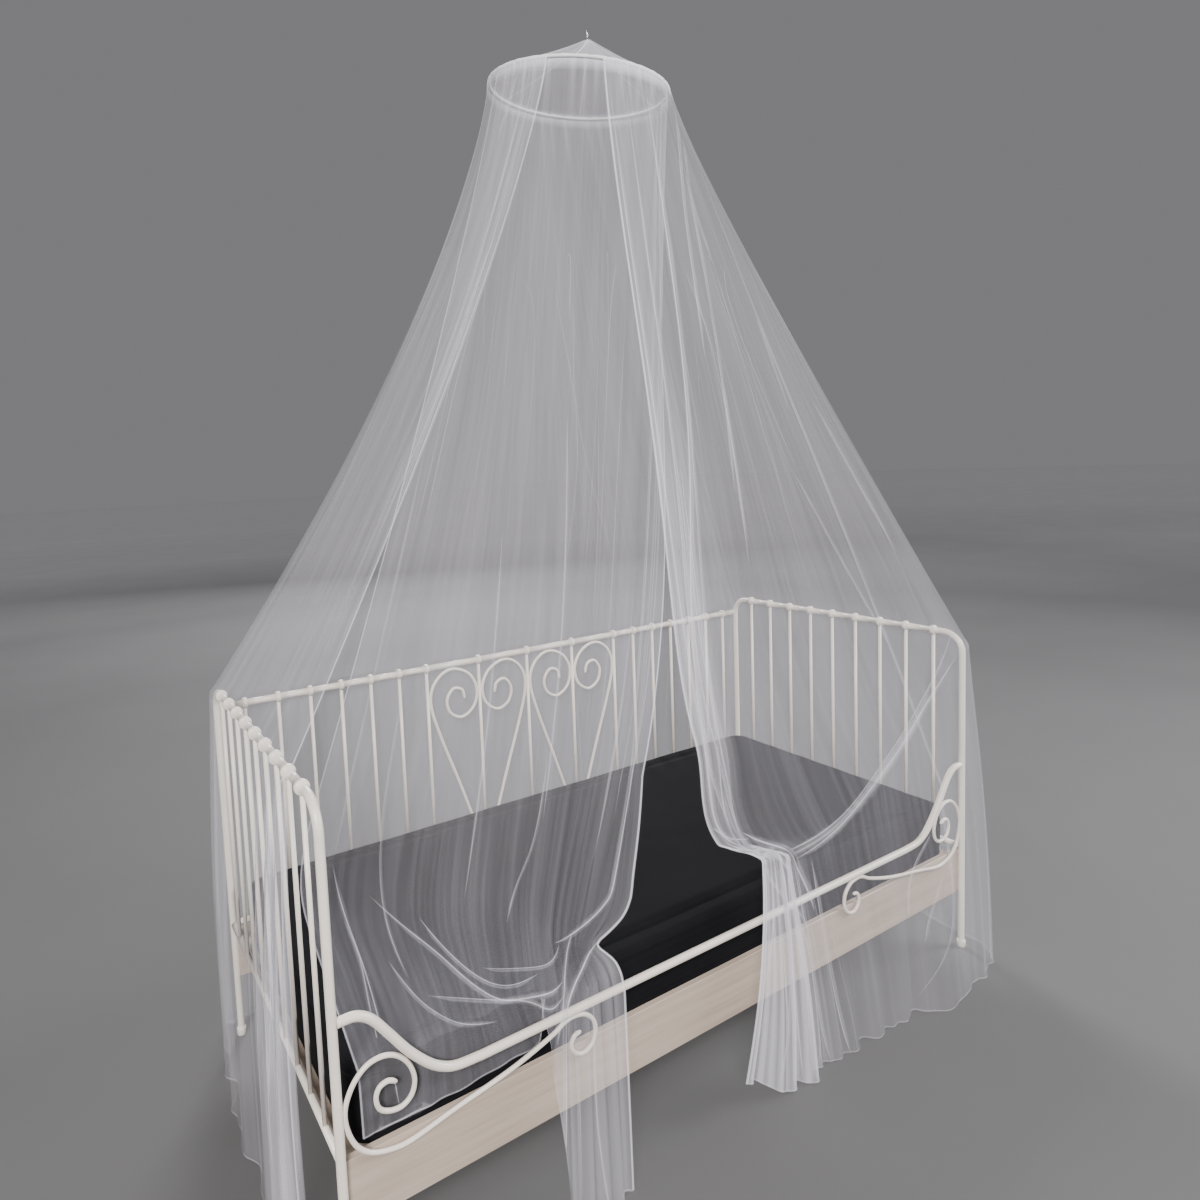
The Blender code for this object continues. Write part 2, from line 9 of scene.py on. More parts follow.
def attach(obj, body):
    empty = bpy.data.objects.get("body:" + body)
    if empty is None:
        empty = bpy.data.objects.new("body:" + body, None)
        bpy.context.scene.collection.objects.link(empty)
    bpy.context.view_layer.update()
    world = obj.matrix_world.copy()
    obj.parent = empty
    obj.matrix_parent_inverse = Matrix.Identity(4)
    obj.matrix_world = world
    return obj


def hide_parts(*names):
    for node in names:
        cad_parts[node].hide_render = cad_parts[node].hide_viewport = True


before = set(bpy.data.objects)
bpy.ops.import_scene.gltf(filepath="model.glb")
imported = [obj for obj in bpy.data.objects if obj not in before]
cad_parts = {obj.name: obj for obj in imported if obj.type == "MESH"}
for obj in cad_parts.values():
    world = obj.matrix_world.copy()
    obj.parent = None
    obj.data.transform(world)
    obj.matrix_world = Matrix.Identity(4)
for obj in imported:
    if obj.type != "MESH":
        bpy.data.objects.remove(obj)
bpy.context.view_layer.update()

# ==== camera, floor and light ====
# The view is the photograph's: from the bed's front left, a little above the net's middle.
# A plain grey floor and surround, even right up to the horizon, let the sheer white net stand out.
EYE = (-1.3775, -1.8001, 1.5989)
YAW, PITCH, ROLL = 0.5471, -0.0852, -0.0436
LENS_SHARE, AXIS_X, AXIS_Y = 786.5 / 1200, 521.7 / 1200, 534.1 / 1200   # shares of the picture's width
SENSOR = 36   # millimetres
forward = np.array([math.sin(YAW) * math.cos(PITCH), math.cos(YAW) * math.cos(PITCH), math.sin(PITCH)])
level = np.array([math.cos(YAW), -math.sin(YAW), 0.0])
rise = np.cross(level, forward)
right = math.cos(ROLL) * level + math.sin(ROLL) * rise
up = math.cos(ROLL) * rise - math.sin(ROLL) * level
camera = bpy.data.objects.new("camera", bpy.data.cameras.new("camera"))
camera.data.sensor_width = SENSOR
camera.data.lens = SENSOR * LENS_SHARE
camera.data.shift_x = 0.5 - AXIS_X
camera.data.shift_y = AXIS_Y - 0.5
camera.matrix_world = Matrix([[right[i], up[i], -forward[i], EYE[i]] for i in range(3)] + [[0, 0, 0, 1]])
show = bpy.context.scene.collection.objects.link
show(camera)
bpy.context.scene.camera = camera

FLOOR_HALF = 60.0
corners = [(x * FLOOR_HALF, y * FLOOR_HALF, 0) for x, y in ((-1, -1), (1, -1), (1, 1), (-1, 1))]
floor_mesh = bpy.data.meshes.new("floor")
floor_mesh.from_pydata(corners, [], [(0, 1, 2, 3)])
floor = bpy.data.objects.new("floor", floor_mesh)
show(floor)


class Nodes:
    """A material's or group's nodes, made and linked in one line each."""

    def __init__(self, tree):
        self.tree = tree

    def feed(self, node, inputs):
        """Each input linked to a socket or set to a value."""
        for key, value in inputs.items():
            if isinstance(value, bpy.types.NodeSocket):
                self.tree.links.new(value, node.inputs[key])
            else:
                node.inputs[key].default_value = value
        return node

    def add(self, kind, inputs=None, **settings):
        node = self.tree.nodes.new("ShaderNode" + kind)
        for key, value in settings.items():
            setattr(node, key, value)
        return self.feed(node, inputs or {})

    def math(self, operation, a, b=0.0, c=0.0):
        return self.add("Math", {0: a, 1: b, 2: c}, operation=operation).outputs[0]

    def noise(self, vector, scale, detail, roughness=0.5):
        return self.add("TexNoise", {"Vector": vector, "Scale": scale, "Detail": detail,
                                     "Roughness": roughness}).outputs["Fac"]

    def stretched(self, vector, scale):
        return self.add("Mapping", {"Vector": vector, "Scale": scale}).outputs[0]

    def spread(self, value, low, high, to_low=0.0, to_high=1.0):
        """The value, carried from low-high to to_low-to_high and held there."""
        return self.add("MapRange", {"Value": value, "From Min": low, "From Max": high,
                                     "To Min": to_low, "To Max": to_high}).outputs[0]

    def mix(self, share, a, b):
        """From colour a to colour b as the share goes from 0 to 1."""
        return self.add("Mix", {"Factor": share, 6: (*a, 1.0), 7: (*b, 1.0)}, data_type="RGBA").outputs[2]

    def bump(self, strength, distance, height):
        lift = self.add("Bump", {"Strength": strength, "Distance": distance, "Height": height})
        return lift.outputs["Normal"]


def new_material(name):
    """A material with its nodes' maker, its shader and the place on the object."""
    made = bpy.data.materials.new(name)
    made.use_nodes = True
    n = Nodes(made.node_tree)
    return made, n, made.node_tree.nodes["Principled BSDF"], n.add("TexCoord").outputs["Object"]


FLOOR_REACH = 40
# metres from the middle and paleness: paler further out, where the lamps' light falls away
FLOOR_PALE = ((0, 0.112), (5, 0.108), (8, 0.175), (11, 0.42), (15, 0.72), (24, 0.92), (FLOOR_REACH, 0.99))
floor_finish, n, shader, place = new_material("floor_finish")
distance = n.add("VectorMath", {0: place}, operation="LENGTH").outputs["Value"]
ramp = n.add("ValToRGB", {"Fac": n.math("MULTIPLY", distance, 1 / FLOOR_REACH)})
stops = ramp.color_ramp.elements
for reach, pale in FLOOR_PALE[1:-1]:
    stops.new(reach / FLOOR_REACH)
for stop, (reach, pale) in zip(stops, FLOOR_PALE):
    stop.color = (pale, 0.985 * pale, pale, 1)
worn = n.spread(n.noise(place, 1.3, 4), 0.3, 0.7, 0.94, 1.0)
tone = n.add("VectorMath", {0: ramp.outputs["Color"], "Scale": worn}, operation="SCALE")
n.feed(shader, {"Base Color": tone.outputs[0], "Roughness": 0.85})
floor_mesh.materials.append(floor_finish)

SURROUND, SURROUND_LIGHT = (0.205, 0.202, 0.210), 1.0
world = bpy.data.worlds.new("surround")
bpy.context.scene.world = world
world.use_nodes = True
Nodes(world.node_tree).feed(world.node_tree.nodes["Background"], {0: (*SURROUND, 1), 1: SURROUND_LIGHT})


def soft_light(name, place, target, size, power, colour):
    lamp = bpy.data.lights.new(name, "AREA")
    lamp.shape, lamp.size, lamp.energy, lamp.color = "DISK", size, power, colour
    lit = bpy.data.objects.new(name, lamp)
    lit.location = place
    aim = np.array(target, float) - np.array(place, float)
    lit.rotation_euler = (math.atan2(math.hypot(aim[0], aim[1]), -aim[2]), 0, math.atan2(-aim[0], aim[1]))
    show(lit)


soft_light("key_light", (-4.6, -5.4, 4.8), (0, 0, 1.0), 2.8, 1080, (1.0, 0.985, 0.96))
soft_light("side_light", (5.6, -3.1, 3.6), (0, 0, 1.0), 3.0, 560, (0.97, 0.98, 1.0))
soft_light("back_light", (2.4, 7.0, 5.4), (0, 0, 1.2), 3.2, 760, (0.98, 0.98, 1.0))

# ==== ivory paint, and the two end frames ====
# Each end is one steel tube bent over both corners, with a collar at every rod, and stands on
# two foot caps. All of it has the same satin ivory coat.
IVORY, IVORY_DUSTY = (0.80, 0.735, 0.665), (0.70, 0.63, 0.555)


def new_group(name, takes, gives):
    """An empty node group: its nodes' maker, inputs and output node. The first input is a vector."""
    group = bpy.data.node_groups.new(name, "ShaderNodeTree")
    for k, key in enumerate(takes):
        kind = "NodeSocketFloat" if k else "NodeSocketVector"
        group.interface.new_socket(name=key, in_out="INPUT", socket_type=kind)
    for key in gives:
        group.interface.new_socket(name=key, in_out="OUTPUT", socket_type="NodeSocketFloat")
    return Nodes(group), group.nodes.new("NodeGroupInput").outputs, group.nodes.new("NodeGroupOutput")


# a coat's small unevenness: colour share, roughness and height out of layered noise
g, taken, given = new_group("uneven_finish", ("Vector", "Size", "Smooth", "Rough"),
                            ("Share", "Roughness", "Height"))
broad = g.noise(taken["Vector"], 3.5, 3)
fine = g.noise(taken["Vector"], taken["Size"], 4, 0.6)
both = g.math("MULTIPLY_ADD", broad, 0.6, g.math("MULTIPLY", fine, 0.4))
rough = g.add("Mix", {"Factor": both, 2: taken["Smooth"], 3: taken["Rough"]}).outputs[0]
g.feed(given, {"Share": g.spread(both, 0.36, 0.62), "Roughness": rough, "Height": fine})
uneven = g.tree


def coated(name, colour, dusty, size, smooth, rough, bump, depth, more):
    """A coated surface: two near colours in soft patches, with an uneven skin."""
    made, n, shader, place = new_material(name)
    skin = n.add("Group", {"Vector": place, "Size": size, "Smooth": smooth, "Rough": rough}, node_tree=uneven)
    n.feed(shader, {"Base Color": n.mix(skin.outputs["Share"], colour, dusty),
                    "Roughness": skin.outputs["Roughness"],
                    "Normal": n.bump(bump, depth, skin.outputs["Height"]), **more})
    return made


ivory_paint = coated("ivory_paint", IVORY, IVORY_DUSTY, 260, 0.30, 0.48, 0.25, 0.0004,
                     {"Coat Weight": 0.25, "Coat Roughness": 0.22})
MIDDLE = np.array([0.0166755, 0.0221077, 0.0])   # bed's middle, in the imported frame
UPRIGHT = np.array([0, 0, 1.0])
TUBE_SIDES, BAR_SIDES, WIRE_SIDES = 24, 16, 14


def add_piece(name, points, faces, finish, slot, replaced, cloth=None):
    """A mesh piece that rides on the body. Its points are given from the bed's middle.

    cloth holds the place on the flat cloth and the share of extra thread for each point."""
    mesh = bpy.data.meshes.new(name)
    mesh.from_pydata((np.reshape(points, (-1, 3)) + MIDDLE).tolist(), [], faces)
    mesh.polygons.foreach_set("use_smooth", np.full(len(mesh.polygons), True))
    if cloth:
        corner = np.zeros(len(mesh.loops), np.int32)
        mesh.loops.foreach_get("vertex_index", corner)
        layer = mesh.uv_layers.new(name="flat_cloth")
        layer.uv.foreach_set("vector", cloth[0].astype(np.float32)[corner].ravel())
        mesh.attributes.new("dense", "FLOAT", "POINT").data.foreach_set("value", cloth[1].astype(np.float32))
    mesh.materials.append(finish)
    mesh.update()
    piece = bpy.data.objects.new(name, mesh)
    show(piece)
    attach(piece, "root")
    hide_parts(*replaced)
    return piece


def painted(name, shape, replaced):
    add_piece(name, *shape, ivory_paint, "ivory_paint", [replaced])


def grid_faces(rows, cols, wrap_rows=False, wrap_cols=False):
    """Quads of a rows by cols grid of points, numbered row by row."""
    i = np.arange(rows if wrap_rows else rows - 1)[:, None]
    j = np.arange(cols if wrap_cols else cols - 1)[None, :]
    i2, j2 = (i + 1) % rows, (j + 1) % cols
    quads = np.stack([i * cols + j, i * cols + j2, i2 * cols + j2, i2 * cols + j], axis=-1)
    return quads.reshape(-1, 4).tolist()


def unit(vectors):
    return vectors / np.maximum(np.linalg.norm(vectors, axis=-1), 1e-9)[..., None]


def carried(path, radii, sideways, sides, closed=False):
    """Tube: a circle of the given radius carried along the path, in the plane square to it.

    point(s, a) = path(s) + radius(s) (cos a . sideways + sin a . (tangent x sideways))"""
    path, sideways = np.asarray(path, float), np.asarray(sideways, float)
    radii = np.broadcast_to(radii, len(path))
    tangent = unit(np.roll(path, -1, 0) - np.roll(path, 1, 0) if closed else np.gradient(path, axis=0))
    second = unit(np.cross(tangent, sideways))[:, None]
    turn = (np.arange(sides) * 2 * np.pi / sides)[:, None]
    points = path[:, None] + radii[:, None, None] * (np.cos(turn) * sideways + np.sin(turn) * second)
    faces = grid_faces(len(path), sides, wrap_rows=closed, wrap_cols=True)
    if not closed:
        count = len(path) * sides
        faces += [list(range(sides))[::-1], list(range(count - sides, count))]
    return points.reshape(-1, 3), faces


def together(shapes):
    """Several point and face lists as one."""
    points, faces, count = [], [], 0
    for more_points, more_faces in shapes:
        points.append(more_points)
        faces += [[v + count for v in face] for face in more_faces]
        count += len(more_points)
    return np.concatenate(points), faces


POST_X, POST_Y, END_TOP, BACK_TOP = 1.02, 0.47, 1.02, 0.965
TUBE_R, COLLAR_R, BEND_R, FOOT_R, FOOT_H = 0.0095, 0.0155, 0.06, 0.013, 0.022
COLLAR_Y = POST_Y - 0.0876 - 0.0949 * np.arange(9)


def collared(stops, axis_from, axis_to):
    """Places and radii along a rail whose collars swell and fall like a turned bead.

    radius = collar radius times a flattened half circle over 13 mm, and the tube's radius elsewhere"""
    bead = np.array([-6.5, -6.4, -6.0, -4.8, -2.6, 0.0, 2.6, 4.8, 6.0, 6.4, 6.5]) / 1000
    swollen = np.array([0.0, 0.38, 0.72, 0.93, 1.0, 1.0, 1.0, 0.93, 0.72, 0.38, 0.0])
    along = np.concatenate([[axis_from]] + [stop + bead for stop in np.sort(stops)] + [[axis_to]])
    radii = np.concatenate([[0.0]] + [swollen for _ in stops] + [[0.0]])
    return along, TUBE_R + (COLLAR_R - TUBE_R) * radii


bend = np.radians(np.linspace(0, 90, 13))
for side, end_x in (("left", -POST_X), ("right", POST_X)):
    corner_y, corner_z = POST_Y - BEND_R, END_TOP - BEND_R
    post_z = np.array([0.0, 0.0012, FOOT_H - 0.002, FOOT_H, FOOT_H + 0.0002, FOOT_H + 0.004])
    post_r = np.array([FOOT_R - 0.001, FOOT_R, FOOT_R, FOOT_R - 0.001, TUBE_R + 0.0004, TUBE_R])
    rail_y, rail_r = collared(COLLAR_Y, -corner_y + 0.002, corner_y - 0.002)
    y = np.concatenate([np.full(6, -POST_Y), -corner_y - BEND_R * np.cos(bend), rail_y,
                        corner_y + BEND_R * np.sin(bend), np.full(6, POST_Y)])
    z = np.concatenate([post_z, corner_z + BEND_R * np.sin(bend), np.full(len(rail_y), END_TOP),
                        corner_z + BEND_R * np.cos(bend), post_z[::-1]])
    r = np.concatenate([post_r, np.full(13, TUBE_R), rail_r, np.full(13, TUBE_R), post_r[::-1]])
    shape = carried(np.stack([np.full(len(y), end_x), y, z], 1), r, (1, 0, 0), TUBE_SIDES)
    painted("end_frame_%s_tube" % side, shape, "end_frame_" + side)

# ==== spindle grilles ====
# Thin round rods welded to a low bar and let into the collars above: nine in each end and
# seventeen along the back, where the four middle bays are wider for the hearts.
LOW_BAR_Z, BAR_R, ROD_R = 0.334, 0.0075, 0.0052
BAR_END, ROD_TOP = 0.009, 0.012   # how far bars stop from the posts' middles, and rods from the rails'
NARROW, WIDE = 0.0941, 0.190
steps = 2 * WIDE + NARROW * np.arange(1, 7)
BACK_X = np.concatenate([-steps[::-1], WIDE * np.arange(-2, 3), steps])


def rods(name, bar, tops, sideways, replaced):
    """A low bar with upright rods: all straight carried circles."""
    shapes = [carried(bar, BAR_R, sideways, BAR_SIDES)]
    for x, y, top in tops:
        shapes.append(carried([(x, y, LOW_BAR_Z), (x, y, top)], ROD_R, sideways, WIRE_SIDES))
    painted(name, together(shapes), replaced)


for side, end_x in (("left", -POST_X), ("right", POST_X)):
    bar = [(end_x, y, LOW_BAR_Z) for y in (BAR_END - POST_Y, POST_Y - BAR_END)]
    tops = [(end_x, y, END_TOP - ROD_TOP) for y in COLLAR_Y]
    rods("end_rods_" + side, bar, tops, (1, 0, 0), "end_grille_" + side)
bar = [(x, POST_Y, LOW_BAR_Z) for x in (BAR_END - POST_X, POST_X - BAR_END)]
rods("back_rods", bar, [(x, POST_Y, BACK_TOP - ROD_TOP) for x in BACK_X], (0, 1, 0), "back_grille")

# ==== back rail ====
# A straight tube between the end frames, with the same collar over each rod.
rail_x, rail_r = collared(BACK_X, BAR_END - POST_X, POST_X - BAR_END)
back_line = [(x, POST_Y, BACK_TOP) for x in rail_x]
painted("back_rail_tube", carried(back_line, rail_r, (0, 1, 0), TUBE_SIDES), "back_rail")

# ==== heart scrolls ====
# Round wire bent cold into half hearts and welded to the rods in pairs that face each other.
WIRE_R = 0.005
HEART = np.array([   # millimetres from the pair's middle rod, and up from the floor
    (-10.8, 345), (-40, 412), (-90, 560), (-150, 730), (-179, 838), (-170, 900), (-132, 940), (-85, 947),
    (-35, 920), (-10.6, 868), (-24, 812), (-68, 783), (-110, 803), (-122, 848), (-98, 882), (-66, 874),
    (-56, 842),
]) / 1000


def rounded(points, per_span=8):
    """Catmull-Rom curve: each span's cubic takes its slopes from the points on either side."""
    points = np.asarray(points, float)
    ends = np.vstack([2 * points[0] - points[1], points, 2 * points[-1] - points[-2]])
    a, b, c, d = (ends[k:len(ends) - 3 + k, None] for k in range(4))
    t = (np.arange(per_span) / per_span)[None, :, None]
    way = 2 * b + (c - a) * t + (2 * a - 5 * b + 4 * c - d) * t ** 2 + (3 * b - a - 3 * c + d) * t ** 3
    return np.vstack([0.5 * way.reshape(-1, points.shape[1]), points[-1:]])


def wire(name, path, replaced):
    """Round wire with softly domed ends."""
    dome = np.array([0.55, 0.85, 0.97])
    radii = WIRE_R * np.concatenate([dome, np.ones(len(path) - 2 * len(dome)), dome[::-1]])
    painted(name, carried(path, radii, (0, 1, 0), WIRE_SIDES), replaced)


for i, (middle, way) in enumerate(((-WIDE, 1), (-WIDE, -1), (WIDE, 1), (WIDE, -1)), start=1):
    path = [(middle + way * x, POST_Y, z) for x, z in rounded(HEART)]
    wire("heart_%d" % i, path, "heart_scroll_%d" % i)

# ==== front rail and its scrolls ====
# The front tube leaves each post at knee height, swings down in an S and runs level; a long
# wire scroll is welded under each end of it.
# both tables: millimetres in from the post, and up from the floor
FRONT_RISE = np.array([
    (9.15, 604), (45, 602), (75, 583), (107, 541), (144, 490), (182, 449), (212, 427), (245, 415),
    (300, 411),
]) / 1000
FRONT_SCROLL = np.array([
    (117, 440), (100, 449), (82, 444), (74, 426), (79, 403), (98, 389), (125, 386), (146, 401), (153, 430),
    (143, 464), (121, 490), (94, 502), (62, 499), (34, 476), (15.5, 438), (14.2, 400), (29, 355), (56, 326),
    (95, 311), (141, 308), (235, 326), (364, 348), (465, 376), (506, 394.5), (535, 396.8), (562, 388),
    (582, 365), (585, 335), (572, 311), (548, 303), (528, 314), (520, 335), (529, 352), (546, 356),
]) / 1000
right_half = [(POST_X - x, -POST_Y, z) for x, z in rounded(FRONT_RISE)]
front_line = [(-x, y, z) for x, y, z in right_half] + right_half[::-1]
painted("front_rail_tube", carried(front_line, TUBE_R, (0, 1, 0), TUBE_SIDES), "front_rail")
for side, way in (("left", -1), ("right", 1)):
    path = [(way * (POST_X - x), -POST_Y, z) for x, z in rounded(FRONT_SCROLL, 5)]
    wire("front_curl_" + side, path, "front_scroll_" + side)

# ==== boards and base ====
# Two long side boards of beige veneered panel, screwed to the posts, and the bed base laid
# between them. Their long grain shows faintly under the satin varnish.
BOARD, BOARD_DARK = (0.47, 0.385, 0.32), (0.38, 0.30, 0.24)
board_finish, n, shader, place = new_material("board_finish")
grain = n.noise(n.stretched(place, (1.2, 14.0, 22.0)), 2.2, 6, 0.62)
fibre = n.noise(n.stretched(place, (4.0, 90.0, 160.0)), 2.0, 3)
both = n.math("MULTIPLY_ADD", grain, 0.7, n.math("MULTIPLY", fibre, 0.3))
n.feed(shader, {"Base Color": n.mix(n.spread(both, 0.38, 0.66), BOARD, BOARD_DARK),
                "Roughness": n.spread(both, 0.3, 0.7, 0.36, 0.52), "Normal": n.bump(0.2, 0.0006, both)})
for board in ("front_board", "back_board", "bed_base"):
    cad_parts[board].data.materials.clear()
    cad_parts[board].data.materials.append(board_finish)

# ==== mattress ====
# A foam mattress in a charcoal cover: crowned a little, with soft corners and a piped seam
# round its upper and lower edge.
CHARCOAL, CHARCOAL_WORN = (0.0035, 0.0035, 0.0045), (0.008, 0.008, 0.010)
BED_X, BED_Y, BED_R, BED_LOW, BED_HIGH = 0.990, 0.4445, 0.06, 0.3054, 0.470
cover_cloth, n, shader, place = new_material("mattress_cover")
weave_x, weave_y = (n.add("TexWave", {"Vector": place, "Scale": 180.0, "Distortion": 0.4},
                          bands_direction=way).outputs["Fac"] for way in "XY")
weave = n.math("MULTIPLY", weave_x, weave_y)
patches = n.noise(place, 5.0, 5, 0.6)
shade = n.math("MULTIPLY_ADD", weave, 0.35, n.spread(patches, 0.35, 0.7, 0.0, 0.65))
n.feed(shader, {"Base Color": n.mix(shade, CHARCOAL, CHARCOAL_WORN),
                "Roughness": n.spread(patches, 0.3, 0.7, 0.78, 0.92),
                "Normal": n.bump(0.35, 0.0012, n.math("MULTIPLY_ADD", weave, 0.4, patches)),
                "Sheen Weight": 0.01, "Sheen Roughness": 0.5, "Specular IOR Level": 0.08})


def pad_skin(arc, rows):
    """Mattress: a rounded rectangle, swept from the middle of its foot over its side to its top.

    outline(a) is four quarter circles joined by straight sides; profile(t) draws it in below and
    above the side, and the side bellies out a little between the two piped edges."""
    a = np.radians(np.linspace(0, 90, arc))[None, :] + np.radians([[0], [90], [180], [270]])
    corner = np.array([(1, 1), (-1, 1), (-1, -1), (1, -1)], float)
    middle, turned = [], []
    for k in range(4):
        middle.append(np.repeat(corner[k:k + 1], arc, 0))
        turned.append(np.stack([np.cos(a[k]), np.sin(a[k])], 1))
        steps = np.linspace(0, 1, 26)[1:-1, None]
        middle.append(corner[k] + (corner[(k + 1) % 4] - corner[k]) * steps)
        turned.append(np.repeat(turned[-1][-1:], len(steps), 0))
    middle, turned = np.concatenate(middle), np.concatenate(turned)
    profile = np.array([   # share of the half sizes, inset in millimetres, height share in thousandths
        (0, 0, 0), (0.5, 0, 0), (0.9, 0, 0), (1, -16, 0), (1, -6, 30), (1, -1.5, 90), (1, -4, 130),
        (1, -1, 300), (1, 0, 500), (1, -1, 700), (1, -4, 860), (1, -1.5, 900), (1, -6, 955), (1, -16, 985),
        (1, -50, 993), (0.9, 0, 997), (0.5, 0, 1000), (0, 0, 1000)]) / (1, 1000, 1000)
    t = np.linspace(0, 1, rows)
    stops = np.linspace(0, 1, len(profile))
    share, inset, height = (np.interp(t, stops, profile[:, k])[:, None] for k in range(3))
    x = middle[:, 0] * (BED_X - BED_R) * share + turned[:, 0] * (BED_R * share + inset)
    y = middle[:, 1] * (BED_Y - BED_R) * share + turned[:, 1] * (BED_R * share + inset)
    z = BED_LOW + (BED_HIGH - BED_LOW) * np.broadcast_to(height, x.shape)
    ripple = 0.0012 * np.sin(17 * x + 3 * np.sin(9 * y)) * np.sin(23 * y + 2 * np.sin(7 * x))
    z = z - np.where(height > 0.9, 0.0012 - ripple, 0.0)
    return np.stack([x, y, z], -1)


skin = pad_skin(13, 69)
pad = add_piece("mattress_pad", skin, grid_faces(*skin.shape[:2], wrap_cols=True), cover_cloth,
                "mattress_cover", ["mattress"])

# ==== hoop, its sleeve, the ring and its tab ====
# A sprung wire hoop pushed into a white tape sleeve that joins roof and sides, with a small
# wire ring on a tab at the tip for the ceiling hook.
HOOP_C, HOOP_R, HOOP_TILT = (-0.009, 0.042, 2.647), 0.25, (-0.034, 0.168)
APEX = np.array([0.018, 0.026, 2.779])
TAPE, TAPE_GREY = (0.86, 0.85, 0.87), (0.74, 0.73, 0.76)
white_tape = coated("white_tape", TAPE, TAPE_GREY, 900, 0.75, 0.92, 0.4, 0.0005, {"Sheen Weight": 0.3})
wire_steel, n, shader, place = new_material("plated_wire")
dull = n.noise(place, 700.0, 4)
n.feed(shader, {"Base Color": n.mix(dull, (0.62, 0.62, 0.64), (0.48, 0.48, 0.50)),
                "Roughness": n.spread(dull, 0.3, 0.7, 0.22, 0.42), "Metallic": 1.0})


def on_hoop(deg, radius, lift=0.0):
    """Point at that angle and distance from the hoop's middle, in the tilted hoop plane."""
    a = np.radians(deg)
    dx, dy = radius * np.cos(a), radius * np.sin(a)
    return np.stack([HOOP_C[0] + dx, HOOP_C[1] + dy,
                     HOOP_C[2] + HOOP_TILT[0] * dx + HOOP_TILT[1] * dy + lift], -1)


hoop_normal = unit(np.array([-HOOP_TILT[0], -HOOP_TILT[1], 1.0]))
around = np.arange(192) * 360 / 192
# the tape puckers a little where it is gathered round the wire
pucker = 0.0043 + 0.00035 * np.sin(np.radians(around) * 37) + 0.00025 * np.sin(np.radians(around) * 61)
add_piece("hoop_tape", *carried(on_hoop(around, HOOP_R), pucker, hoop_normal, 12, closed=True),
          white_tape, "white_tape", ["hoop_sleeve", "hoop"])

RING_R, RING_WIRE, RING_LIFT, VIEW = 0.0105, 0.0012, 0.0155, math.radians(53.4)
ring_dir = np.array([math.cos(VIEW), math.sin(VIEW), 0.0])
ring_side = np.array([-math.sin(VIEW), math.cos(VIEW), 0.0])
turn = np.radians(np.arange(48) * 7.5)[:, None]
circle = APEX + RING_LIFT * UPRIGHT + RING_R * (np.cos(turn) * ring_dir + np.sin(turn) * UPRIGHT)
add_piece("ceiling_ring", *carried(circle, RING_WIRE, ring_side, WIRE_SIDES, closed=True),
          wire_steel, "plated_wire", ["hanging_ring"])
TAB_HALF, TAB_FOOT, TAB_TOP = 0.0025, 0.0010, 0.0076   # over the tip
# half of the tab's fold, from its foot to just short of its top: across, and up
tab_half = np.array([(-0.0030, TAB_FOOT), (-0.0031, 0.0030), (-0.0029, TAB_TOP - 0.0022),
                     (-0.0022, TAB_TOP - 0.0006), (-0.0011, TAB_TOP - 0.0001)])
fold = np.concatenate([tab_half, [(0.0, TAB_TOP)], tab_half[::-1] * (-1, 1)])
width = np.linspace(-TAB_HALF, TAB_HALF, 7)[:, None, None]
tab = APEX + fold[None, :, :1] * ring_side + fold[None, :, 1:] * UPRIGHT + width * ring_dir
add_piece("ring_loop", tab, grid_faces(*tab.shape[:2]), white_tape, "white_tape", ["ring_tab"])

# ==== roof ====
# Six gores of the same fine net, seamed into a low cone over the hoop. Each gore sags a little
# between its seams, which show as doubled lines.
NET_WHITE, NET_LILAC = (0.92, 0.89, 0.96), (0.84, 0.81, 0.91)
# knitted net: soft six-sided cells in cloth metres, and faint lengthwise streaks of yarn
g, taken, given = new_group("knitted_net", ("UV", "Dense", "Open", "Closed"), ("Cover", "Streak"))
cells = g.add("TexVoronoi", {"Vector": taken["UV"], "Scale": 520.0, "Randomness": 0.2},
              feature="DISTANCE_TO_EDGE", voronoi_dimensions="2D").outputs["Distance"]
thread = g.spread(cells, 0.0, 0.28, 1.0, 0.0)
streak = g.noise(g.stretched(taken["UV"], (60.0, 1.3, 1.0)), 1.0, 3, 0.55)
broad = g.noise(g.stretched(taken["UV"], (7.0, 1.1, 1.0)), 1.0, 3)
body = g.math("ADD", g.spread(streak, 0.42, 0.72, -0.01, 0.03), g.spread(broad, 0.35, 0.65, -0.012, 0.016))
body = g.math("ADD", body, g.math("MULTIPLY_ADD", thread, 0.05, -0.02))
span = g.math("SUBTRACT", taken["Closed"], taken["Open"])
cover = g.math("ADD", g.math("MULTIPLY_ADD", taken["Dense"], span, taken["Open"]), body)
g.feed(given, {"Cover": g.spread(cover, 0.0, 1.0), "Streak": streak})
knitted = g.tree


def net_cloth(name, open_cover, closed_cover):
    """Sheer net: its cover is the share of thread, from open to closed as dense goes from 0 to 1."""
    made, n, shader, _ = new_material(name)
    made.surface_render_method = "DITHERED"
    flat = n.add("UVMap", uv_map="flat_cloth").outputs["UV"]
    dense = n.add("Attribute", attribute_name="dense").outputs["Fac"]
    net = n.add("Group", {"UV": flat, "Dense": dense, "Open": open_cover, "Closed": closed_cover},
                node_tree=knitted).outputs
    n.feed(shader, {"Base Color": n.mix(net["Streak"], NET_WHITE, NET_LILAC), "Alpha": net["Cover"],
                    "Normal": n.bump(0.15, 0.0008, net["Streak"]), "Roughness": 0.85,
                    "Sheen Weight": 0.3, "Sheen Roughness": 0.4})
    return made


def towards(deg):
    """Level directions at those angles from +X."""
    a = np.radians(deg)
    return np.stack([np.cos(a), np.sin(a), 0 * a], -1)


def square_to(sheet):
    """Direction square to the cloth at every point."""
    return unit(np.cross(unit(np.gradient(sheet, axis=0)), unit(np.gradient(sheet, axis=1))))


